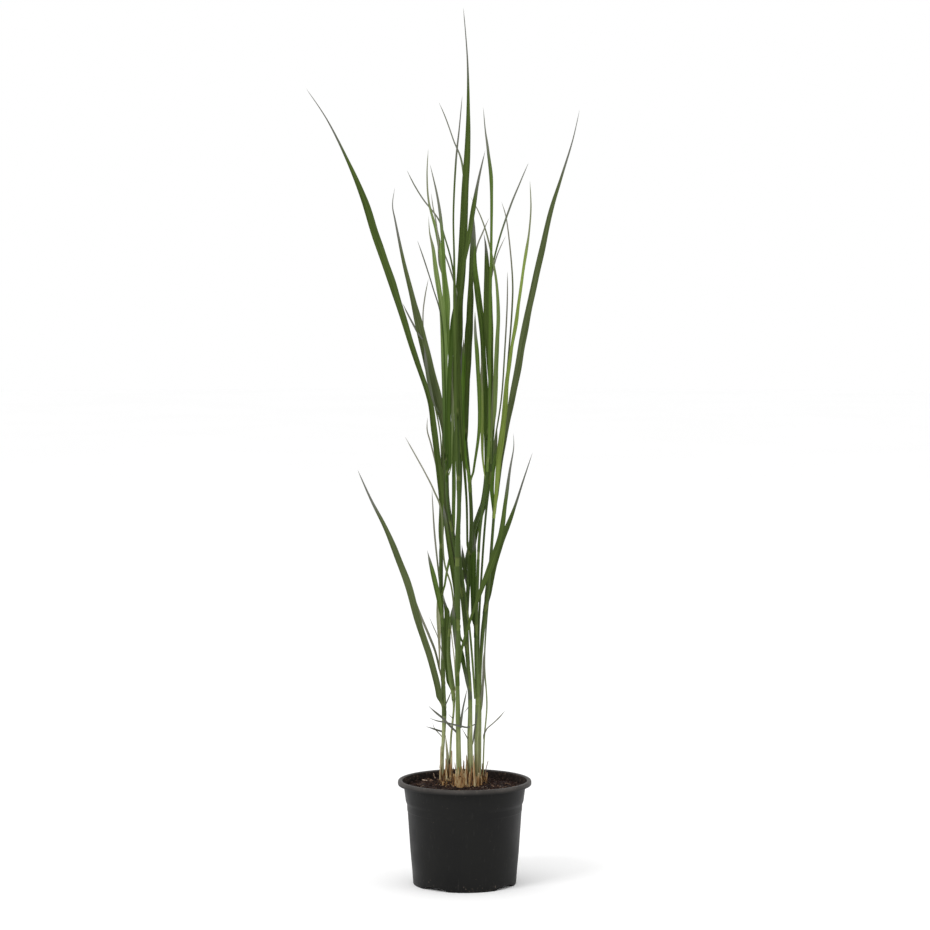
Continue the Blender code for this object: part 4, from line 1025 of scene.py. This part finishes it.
def make_leaf_bases(material):
    """Dry remains of old sheaths round the foot of each stem."""
    shells = Shells()
    for curve in CULM_CURVES.values():
        if curve[0, 2] > FOOT_LIMIT:
            continue
        for i in range(SCALES_A_STEM):
            facing = random.uniform(0.0, FULL_TURN)
            height = random.uniform(6.0, 20.0) if i else random.uniform(20.0, 34.0)
            half_angle = random.uniform(0.5, 1.3)
            clearance = 0.25 + 0.28 * i
            add_scale(shells, curve, facing, half_angle, height, clearance, random.uniform(0.2, 0.95))
    shells.build("old_leaf_bases", material, 70.0)


# Stems: round, in sheaths that wrap them, with a step at each sheath's mouth and a swelling at each joint.
def nearest_stem(foot):
    """Name of the stem whose surface is nearest to a leaf's foot, and the distance along it."""
    best = None
    for name, curve in CULM_CURVES.items():
        gaps = np.linalg.norm(curve[:, :3] - np.array(foot[:3]), axis=1) - 0.5 * curve[:, 3]
        index = int(np.argmin(gaps))
        if best is None or gaps[index] < best[0]:
            best = (gaps[index], name, travel(curve)[index])
    return best[1], best[2]


def stem_joints(length, mouths):
    """Mouths of the sheaths and the joint above each, as distances along a stem."""
    marks = []
    place = 0.0
    for mouth in sorted(mouths) + [length]:
        gap = mouth - place
        extra = int(gap // SHEATH_LENGTH)
        for i in range(extra):
            marks.append(place + gap * (i + 1) / (extra + 1) + random.uniform(-MOUTH_SHIFT, MOUTH_SHIFT))
        if length - mouth > MOUTH_BELOW_TOP and gap > MOUTH_GAP:
            marks.append(mouth)
        place = mouth
    return [(mark, mark + random.uniform(*JOINT_RISE)) for mark in marks]


def make_culm(name, mouths, material):
    """A stem, with a sheath that opens wherever a leaf leaves it."""
    curve = CULM_CURVES[name]
    length = travel(curve)[-1]
    joints = stem_joints(length, mouths)
    places = set(np.linspace(0.0, length, int(length / CULM_STEP)).tolist())
    for mouth, joint in joints:
        places.update([mouth - 0.5, mouth + 0.5, *(joint + step for step in JOINT_STEPS)])
    places = np.array(sorted(place for place in places if 0.0 <= place <= length))
    rows = sample(curve, places)
    _, across, through = strand_axes(rows, np.zeros(len(rows)))
    bare, knot = np.zeros(len(rows)), np.zeros(len(rows))
    for mouth, joint in joints:
        past_mouth = smooth_step(places, mouth - 0.5, mouth + 0.5)
        bare = np.maximum(bare, past_mouth * (1.0 - smooth_step(places, joint - 1.0, joint + 1.0)))
        knot = np.maximum(knot, np.exp(-((places - joint) / JOINT_REACH) ** 2))
    share = SHEATH_SHARE - (SHEATH_SHARE - BARE_SHARE) * bare + 0.05 * knot
    turn = around(CULM_SIDES)
    # A sheath's free edge winds slowly up the stem, and sets off elsewhere at each new sheath.
    edge = 0.9 + 0.004 * places[:, None] + 2.1 * np.floor(places[:, None] / 120.0)
    overlap = np.exp(-((np.mod(turn[None, :] - edge + math.pi, FULL_TURN) - math.pi) / 0.25) ** 2)
    reach = 0.5 * rows[:, 3:4] * (share[:, None] + 0.045 * overlap * (1.0 - bare[:, None]))
    rings = rows[:, None, :3] + spokes(turn, across, through) * reach[:, :, None]
    values = {"tone": CULMS[name][0], "bare": bare[:, None], "knot": knot[:, None]}
    shells = Shells()
    shells.rings(rings, values)
    shells.build(name + "_stem", material, 60.0, [name])


# Leaves: each starts rolled round its stem and opens into a V-folded blade with a raised midrib.
def blade_depth(u, w, wide):
    """How far the two faces of a blade lie from its middle. The upper one has the midrib and fine ribs."""
    flank = np.ones(len(u) // 2 - 1)
    face = np.concatenate([[0.0], -flank, [0.0], flank])
    sheet = np.minimum(0.34, 0.3 * w) * (1.0 - 0.45 * u ** 2)
    midrib = np.minimum(0.5, 0.09 * w) * np.exp(-((u * w / 1.3) ** 2)) if wide else 0.0 * w
    ribs = 0.045 * np.cos(4.0 * math.pi * u) * smooth_step(w, 3.0, 8.0)
    return face * (0.5 * sheet + (face > 0) * (midrib + ribs))


def blade_fold(u, w):
    """How far the middle line of a V-folded blade lies past its margins."""
    soft = math.sqrt(FOLD_SOFTNESS)
    valley = 1.0 - (np.sqrt(u ** 2 + FOLD_SOFTNESS) - soft) / (math.sqrt(1.0 + FOLD_SOFTNESS) - soft)
    return LEAF_FOLD * w * valley


def blade_wave(u, w, places, seed):
    """Slow waves along the margins of a blade, away from its foot."""
    wave = 0.05 * w * u ** 2 * np.sin(places[:, None] / (11.0 + 3.0 * np.sign(u)) + seed + 1.7 * u)
    return wave * smooth_step(places, 20.0, 90.0)[:, None] * smooth_step(w, 2.5, 6.0)


def rolled_blade(host, ends_stem, places, rows, axes, width, depth, u):
    """A blade's points as they lie rolled round its stem."""
    along, across, through = axes
    axis = CULM_CURVES[host]
    if ends_stem:
        middle, outward, stem_width = rows[:, :3], through, axis[-1, 3]
    else:
        gaps = np.linalg.norm(axis[None, :, :3] - rows[:, None, :3], axis=2)
        nearest = np.argmin(gaps, axis=1)
        middle, stem_width = axis[nearest, :3], axis[nearest[0], 3]
        outward = rows[:, :3] - middle
        outward = unit(outward - (outward * along).sum(1, keepdims=True) * along)
    radius = 0.5 * stem_width + COLLAR_CLEARANCE
    sideways = np.cross(along, outward)
    sideways = sideways * np.sign((sideways * across).sum(1, keepdims=True))
    outer = np.sign((outward * through).sum(1))[:, None]
    flat_hug = np.minimum(2.0, 0.5 * width / radius)
    hug = COLLAR_HUG - (COLLAR_HUG - flat_hug) * smooth_step(places, 0.0, 0.6 * COLLAR_LENGTH)
    reach = radius + outer * depth
    return middle[:, None, :] + spokes(u * hug[:, None], outward, sideways) * reach[:, :, None]


def leaf_shell(shells, route, turn_degrees, seed, host=None, ends_stem=False):
    """A blade along a route. With a host stem, it starts rolled round that."""
    curve = fine_curve(route)
    length = travel(curve)[-1]
    lean = math.cos(math.radians(turn_degrees))
    wide = curve[:, 3].max() / lean > WIDE_LEAF
    near = np.arange(-COLLAR_START, COLLAR_LENGTH, COLLAR_STEP) if host is not None else np.array([])
    start = near[-1] + COLLAR_STEP if len(near) else 0.0
    far = np.linspace(start, length, max(10, int((length - start) / LEAF_STEP)))
    places = np.concatenate([near, far])
    rows = sample(curve, np.clip(places, 0.0, length))
    before = places < 0.0
    if before.any():
        first = unit(rows[before.sum() + 1, :3] - curve[0, :3])
        rows[before, :3] = curve[0, :3] + first * places[before, None]
    twist = LEAF_TWIST * np.sin(places / TWIST_LENGTH + seed) * smooth_step(places, 30.0, 140.0)
    axes = strand_axes(rows, np.radians(turn_degrees) + twist)
    along, across, through = axes
    width = rows[:, 3] / lean * (1.0 - 0.55 * smooth_step(places, length - TIP_TAPER, length))

    half = WIDE_POINTS if wide else NARROW_POINTS
    u = np.concatenate([np.linspace(-1.0, 1.0, half), np.linspace(1.0, -1.0, half)[1:-1]])
    w = width[:, None]
    depth = blade_depth(u, w, wide)
    lift = blade_fold(u, w) + depth + blade_wave(u, w, places, seed)
    flat = across[:, None, :] * (u * w / 2.0)[:, :, None]
    blade = rows[:, None, :3] + flat + through[:, None, :] * lift[:, :, None]
    opened = np.ones(len(rows))
    if host is not None:
        opened = smooth_step(places, (0.1 if ends_stem else 0.25) * COLLAR_LENGTH, COLLAR_LENGTH)
        share = opened[:, None, None]
        rolled = rolled_blade(host, ends_stem, places, rows, axes, width, depth, u)
        blade = rolled * (1.0 - share) + blade * share

    thin = 1.0 - smooth_step(rows[:, 3], 2.2, 6.6)
    dry = thin * smooth_step(places, *(length - reach for reach in DRY_TIP))
    values = {
        "across": u,
        "dry": dry[:, None],
        "distance": places[:, None],
        "opened": opened[:, None],
        "tone": (seed * 0.618) % 1.0,
        "wide": w,
    }
    shells.rings(blade, values, rows[-1, :3] + along[-1] * 0.8)


def rooted(route, carrier, drop):
    """A shoot's route, begun inside the stem or leaf that carries it."""
    if carrier is None:
        return route
    rows = np.array({**CULMS, **LEAVES}[carrier][-1], float)
    height = route[0][2] - drop
    x, y = (float(np.interp(height, rows[:, 2], rows[:, i])) for i in (0, 1))
    return [(x, y, height, route[0][3])] + route


def make_plant():
    """The leaves first, because where they leave the stems is where the sheaths open."""
    blades = {kind: leaf_material("blade_" + kind, *looks) for kind, looks in LEAF_LOOKS.items()}
    mouths = {name: [] for name in CULMS}
    for seed, (name, (kind, turn, route)) in enumerate(LEAVES.items()):
        host, place = nearest_stem(route[0])
        mouths[host].append(place)
        shells = Shells()
        leaf_shell(shells, route, turn, seed + 1.0, host, name in END_LEAVES)
        shells.build(name + "_leaf", blades[kind], 70.0, [name])
    stems = stem_material()
    for name in CULMS:
        make_culm(name, mouths[name], stems)
    for seed, (name, (kind, carrier, drop, route)) in enumerate(SHOOTS.items()):
        shells = Shells()
        leaf_shell(shells, rooted(route, carrier, drop), 0.0, seed + 50.0)
        shells.build(name, blades[kind], 70.0)


# Materials.
def srgb(colour):
    """A colour given as it looks on a screen, 0 to 255, as linear values."""
    channels = []
    for value in colour:
        share = value / 255.0
        channels.append(share / 12.92 if share <= 0.04045 else ((share + 0.055) / 1.055) ** 2.4)
    return (*channels, 1.0)


class Paint:
    """A material's nodes, made from short calls. Colours in them are screen colours."""

    def __init__(self, name, roughness, specular):
        self.material = bpy.data.materials.new(name)
        self.material.use_nodes = True
        self.tree = self.material.node_tree
        self.shader = self.tree.nodes["Principled BSDF"]
        self.shader.inputs["Roughness"].default_value = roughness
        self.shader.inputs["Specular IOR Level"].default_value = specular
        self.place = self.tree.nodes.new("ShaderNodeTexCoord").outputs["Object"]
        self.colour = None

    def node(self, kind, inputs=(), output=0, **settings):
        made = self.tree.nodes.new(kind)
        for key, value in settings.items():
            setattr(made, key, value)
        for key, value in dict(inputs).items():
            if isinstance(value, bpy.types.NodeSocket):
                self.tree.links.new(value, made.inputs[key])
            else:
                made.inputs[key].default_value = value
        return made.outputs[output]

    def plus(self, a, b):
        return self.node("ShaderNodeMath", {0: a, 1: b}, operation="ADD")

    def times(self, a, b):
        return self.node("ShaderNodeMath", {0: a, 1: b}, operation="MULTIPLY")

    def value(self, name):
        return self.node("ShaderNodeAttribute", output=2, attribute_name=name)

    def height(self):
        return self.node("ShaderNodeSeparateXYZ", {0: self.place}, 2)

    def spread(self, value, low, high, to_low=0.0, to_high=1.0):
        """A value's range moved smoothly to another."""
        inputs = {"Value": value, "From Min": low, "From Max": high, "To Min": to_low, "To Max": to_high}
        return self.node("ShaderNodeMapRange", inputs, interpolation_type="SMOOTHSTEP")

    def noise(self, scale, detail=3.0, roughness=0.55, stretch=None, place=None):
        """Noise over the object's coordinates, or over another place, which a stretch scales first."""
        place = self.place if place is None else place
        if stretch is not None:
            place = self.node("ShaderNodeMapping", {"Vector": place, "Scale": stretch})
        inputs = {"Vector": place, "Scale": scale, "Detail": detail, "Roughness": roughness}
        return self.node("ShaderNodeTexNoise", inputs)

    def mix(self, share, first, second):
        first, second = (srgb(colour) if isinstance(colour, tuple) else colour for colour in (first, second))
        return self.node("ShaderNodeMix", {0: share, 6: first, 7: second}, 2, data_type="RGBA")

    def ramp(self, value, stops):
        made = self.tree.nodes.new("ShaderNodeValToRGB")
        self.tree.links.new(value, made.inputs[0])
        elements = made.color_ramp.elements
        while len(elements) < len(stops):
            elements.new(0.5)
        for element, (place, colour) in zip(elements, stops):
            element.position = place
            element.color = srgb(colour)
        return made.outputs[0]

    def coat(self, share, colour):
        """Lay a share of a colour over what is there."""
        self.colour = self.mix(share, self.colour, colour)

    def finish(self, rough=None, relief=None, strength=0.0, depth=0.0):
        """Join the colour to the shader, with a roughness and a relief, whose depth is in metres."""
        self.tree.links.new(self.colour, self.shader.inputs["Base Color"])
        if rough is not None:
            self.tree.links.new(rough, self.shader.inputs["Roughness"])
        if relief is not None:
            bump = self.node("ShaderNodeBump", {"Strength": strength, "Distance": depth, "Height": relief})
            self.tree.links.new(bump, self.shader.inputs["Normal"])
        return self.material


def plastic_material():
    """Black moulded plastic, dusty low down and on the lip, with a painted highlight along the lip's top,
    scuffed, and stained with peat inside.
    """
    paint = Paint("black_plastic", 0.5, 0.13)
    cloud = paint.noise(18.0, 4.0)
    scuff = paint.noise(6.0, 5.0, 0.7, (60.0, 60.0, 9.0))
    paint.colour = paint.mix(paint.spread(cloud, 0.3, 0.7), (16, 16, 16), (22, 22, 21))
    paint.coat(paint.spread(scuff, 0.56, 0.8, 0.0, 0.5), (52, 51, 49))
    height = paint.height()
    low = paint.spread(height, 0.020, 0.0, 0.0, 0.10)
    # Near the lip: dust specks gather there, and the same band carries a painted highlight.
    high = paint.spread(height, 0.1262, 0.1320, 0.0, 0.10)
    speckle = paint.plus(paint.noise(420.0, 3.0, 0.6), paint.plus(low, high))
    paint.coat(paint.times(paint.spread(speckle, 0.70, 0.78), 0.7), (96, 86, 76))
    # Painted highlight: pale grey laid along the lip's top, where light catches the rim.
    paint.coat(paint.times(high, paint.spread(cloud, 0.35, 0.65, 2.5, 5.0)), (98, 93, 89))
    inside = paint.times(paint.value("tone"), 0.94)
    splash = paint.noise(260.0, 4.0, 0.7)
    peat = paint.mix(paint.spread(splash, 0.38, 0.60), (15, 10, 8), (38, 29, 24))
    peat = paint.mix(paint.spread(splash, 0.58, 0.68), peat, (92, 74, 60))
    paint.coat(inside, peat)
    rough = paint.plus(paint.spread(cloud, 0.3, 0.7, 0.42, 0.6), paint.times(inside, 0.45))
    relief = paint.plus(paint.noise(900.0, 2.0), paint.times(scuff, 0.6))
    return paint.finish(rough, relief, 0.25, 0.00015)


def peat_material():
    """Dark brown peat with paler fibres."""
    paint = Paint("peat", 0.95, 0.2)
    clod = paint.noise(120.0, 5.0, 0.7)
    fine = paint.noise(700.0, 4.0, 0.7)
    streak = paint.noise(1.0, 2.0, stretch=(300.0, 900.0, 300.0))
    paint.colour = paint.mix(paint.spread(clod, 0.35, 0.65), (24, 15, 12), (44, 28, 22))
    paint.coat(paint.spread(fine, 0.55, 0.8, 0.0, 0.7), (70, 48, 38))
    paint.coat(paint.spread(streak, 0.68, 0.76, 0.0, 0.6), (104, 78, 60))
    paint.coat(paint.spread(paint.value("tone"), 0.75, 1.0, 0.0, 0.6), (120, 96, 78))
    return paint.finish(None, paint.plus(clod, paint.times(fine, 0.5)), 0.8, 0.0006)


def fibre_material():
    """Straw and roots, from dark brown to pale straw by their tone."""
    paint = Paint("straw", 0.85, 0.25)
    streak = paint.noise(500.0, 3.0)
    shade = paint.plus(paint.value("tone"), paint.spread(streak, 0.3, 0.7, -0.12, 0.12))
    paint.colour = paint.ramp(shade, [
        (0.0, (42, 27, 20)), (0.45, (74, 50, 34)), (0.8, (118, 88, 64)), (1.0, (168, 150, 132)),
    ])
    return paint.finish(None, streak, 0.5, 0.0003)


def stubble_material():
    """Dead stem bases: orange brown outside, greyer and torn at the top."""
    paint = Paint("dead_stems", 0.8, 0.25)
    fibre = paint.noise(1.0, 4.0, 0.65, (900.0, 900.0, 60.0))
    patch = paint.noise(150.0, 3.0)
    shade = paint.plus(paint.value("tone"), paint.spread(fibre, 0.32, 0.68, -0.5, 0.3))
    paint.colour = paint.ramp(shade, [
        (0.0, (40, 27, 18)), (0.3, (92, 64, 38)), (0.55, (148, 108, 66)), (0.8, (178, 144, 98)),
        (1.0, (196, 184, 146)),
    ])
    rise = paint.plus(paint.height(), paint.spread(patch, 0.2, 0.8, -0.012, 0.012))
    paint.coat(paint.spread(rise, 0.140, 0.176, 0.0, 0.55), (150, 142, 130))
    paint.coat(paint.spread(patch, 0.62, 0.8, 0.0, 0.6), (44, 28, 20))
    return paint.finish(None, fibre, 0.7, 0.0004)


def stem_material():
    """Stems: tan at the foot, then pale olive, then green, with fine ribs and darker joints."""
    paint = Paint("stem_skin", 0.55, 0.14)
    tone = paint.value("tone")
    ribs = paint.noise(1.0, 3.0, 0.6, (1400.0, 1400.0, 18.0))
    patch = paint.noise(1.0, 3.0, stretch=(90.0, 90.0, 22.0))
    rise = paint.plus(paint.height(), paint.spread(patch, 0.25, 0.75, -0.022, 0.022))
    climb = paint.node("ShaderNodeMapRange", {"Value": rise, "From Min": 0.12, "From Max": 0.56})
    green = paint.ramp(climb, [
        (0.0, (112, 92, 58)), (0.04, (122, 116, 72)), (0.10, (124, 132, 84)), (0.20, (104, 118, 66)),
        (0.34, (80, 96, 48)), (0.50, (62, 78, 32)), (1.0, (54, 72, 26)),
    ])
    dark = paint.mix(0.42, green, (44, 58, 24))
    light = paint.mix(paint.spread(rise, 0.22, 0.34, 0.35, 0.08), green, (168, 178, 128))
    paint.colour = paint.mix(paint.spread(tone, 0.0, 0.5), dark, green)
    paint.coat(paint.spread(tone, 0.5, 1.0), light)
    foot = paint.times(paint.spread(ribs, 0.42, 0.56, 0.75, 0.05), paint.spread(rise, 0.24, 0.17))
    paint.coat(paint.times(foot, paint.spread(tone, 0.48, 0.55, 0.45, 1.0)), (186, 188, 148))
    paint.coat(paint.spread(ribs, 0.48, 0.64, 0.0, 0.5), paint.mix(0.5, paint.colour, (50, 62, 28)))
    pale_rib = paint.spread(ribs, 0.62, 0.72, 0.0, 0.35)
    paint.coat(paint.times(pale_rib, paint.spread(rise, 0.30, 0.45, 1.0, 0.4)), (146, 156, 106))
    paint.coat(paint.times(paint.value("bare"), 0.3), (120, 132, 70))
    paint.coat(paint.times(paint.value("knot"), 0.28), (74, 70, 38))
    paint.coat(paint.spread(paint.noise(380.0, 3.0, 0.6), 0.68, 0.74, 0.0, 0.5), (96, 78, 48))
    rough = paint.spread(paint.spread(rise, 0.12, 0.50), 0.0, 1.0, 0.62, 0.45)
    return paint.finish(rough, ribs, 0.5, 0.0003)


def leaf_material(name, dark, mid, light, tip, foot, reach=90.0, fade=0.35):
    """A blade: veins along it, a pale midrib, darker margins, a foot in its own colour (on one look, painted
    shade) and a dry tip.
    """
    paint = Paint(name, 0.55, 0.1)
    across, distance = paint.value("across"), paint.value("distance")
    opened, wide = paint.value("opened"), paint.value("wide")
    side = paint.node("ShaderNodeMath", {0: across}, operation="ABSOLUTE")
    along = paint.times(distance, 0.01)
    flat = paint.node("ShaderNodeCombineXYZ", {0: across, 1: along, 2: paint.value("tone")})
    veins = paint.noise(1.0, 2.0, stretch=(26.0, 1.2, 9.0), place=flat)
    streaks = paint.noise(1.0, 3.0, stretch=(2.2, 2.0, 9.0), place=flat)
    patch = paint.noise(1.0, 4.0, 0.65, (5.0, 9.0, 9.0), flat)
    paint.colour = paint.mix(paint.spread(streaks, 0.3, 0.7), dark, mid)
    paint.coat(paint.spread(veins, 0.45, 0.75, 0.0, 0.5), light)
    paint.coat(paint.spread(veins, 0.5, 0.25, 0.0, 0.4), dark)
    rib_width = paint.times(paint.node("ShaderNodeMath", {0: 0.75, 1: wide}, operation="DIVIDE"), 1.6)
    rib = paint.times(paint.spread(side, rib_width, 0.0), paint.spread(wide, 3.0, 6.0))
    paint.coat(paint.times(rib, 0.42), light)
    paint.coat(paint.spread(side, 0.86, 0.98, 0.0, 0.35), dark)
    # The foot's own colour; on one look it is a dark foot of painted shade.
    paint.coat(paint.spread(distance, reach, 0.0, 0.0, fade), foot)
    ligule = paint.times(paint.spread(opened, 0.0, 0.25), paint.spread(opened, 0.7, 0.3))
    paint.coat(paint.times(ligule, 0.22), (140, 142, 92))
    frayed = paint.plus(paint.value("dry"), paint.spread(patch, 0.3, 0.7, -0.15, 0.15))
    paint.coat(paint.spread(frayed, 0.15, 0.9, 0.0, 0.85), tip)
    paint.coat(paint.spread(patch, 0.70, 0.80, 0.0, 0.5), (112, 104, 62))
    relief = paint.plus(veins, paint.times(patch, 0.4))
    return paint.finish(paint.spread(veins, 0.3, 0.7, 0.42, 0.56), relief, 0.35, 0.0002)


def floor_material():
    paint = Paint("studio_floor", 0.9, 0.1)
    cloud = paint.noise(1.5, 2.0)
    paint.colour = paint.mix(paint.spread(cloud, 0.3, 0.7), (254, 254, 254), (255, 255, 255))
    return paint.finish()


# Studio.
def make_camera():
    data = bpy.data.cameras.new("camera")
    data.sensor_width = 36.0
    data.lens = LENS
    data.clip_end = 60.0
    camera = put("camera", data)
    camera.location = (CAMERA_ASIDE, -CAMERA_DISTANCE, CAMERA_HEIGHT)
    camera.rotation_euler = (math.radians(90.0 - CAMERA_PITCH), 0.0, 0.0)
    bpy.context.scene.camera = camera


def make_floor():
    work = bmesh.new()
    bmesh.ops.create_circle(work, cap_ends=True, radius=STUDIO_RADIUS, segments=96)
    floor = put_mesh("floor", work)
    floor.data.materials.append(floor_material())


def add_light(name, place, target, size, power):
    data = bpy.data.lights.new(name, "AREA")
    data.shape = "RECTANGLE"
    data.size, data.size_y = size
    data.energy = power
    light = put(name, data)
    light.location = place
    aim = Vector(target) - Vector(place)
    light.rotation_euler = aim.to_track_quat("-Z", "Y").to_euler()


def make_lights():
    world = bpy.data.worlds.new("studio")
    world.use_nodes = True
    background = world.node_tree.nodes["Background"]
    background.inputs["Color"].default_value = (1.0, 1.0, 1.0, 1.0)
    background.inputs["Strength"].default_value = 1.0
    bpy.context.scene.world = world
    add_light("key", (-2.2, -2.2, 2.6), (0.0, 0.0, 0.5), (1.4, 1.4), 50.0)
    add_light("fill", (2.6, -1.0, 1.6), (0.0, 0.0, 0.4), (1.2, 1.8), 6.0)
    bpy.context.scene.view_settings.view_transform = "Standard"


def main():
    make_camera()
    make_floor()
    make_lights()
    make_pot(plastic_material())
    peat, straw, dead = peat_material(), fibre_material(), stubble_material()
    make_soil(peat)
    make_crumbs(peat)
    make_fibres(straw)
    make_crown(dead)
    make_leaf_bases(dead)
    make_plant()


main()
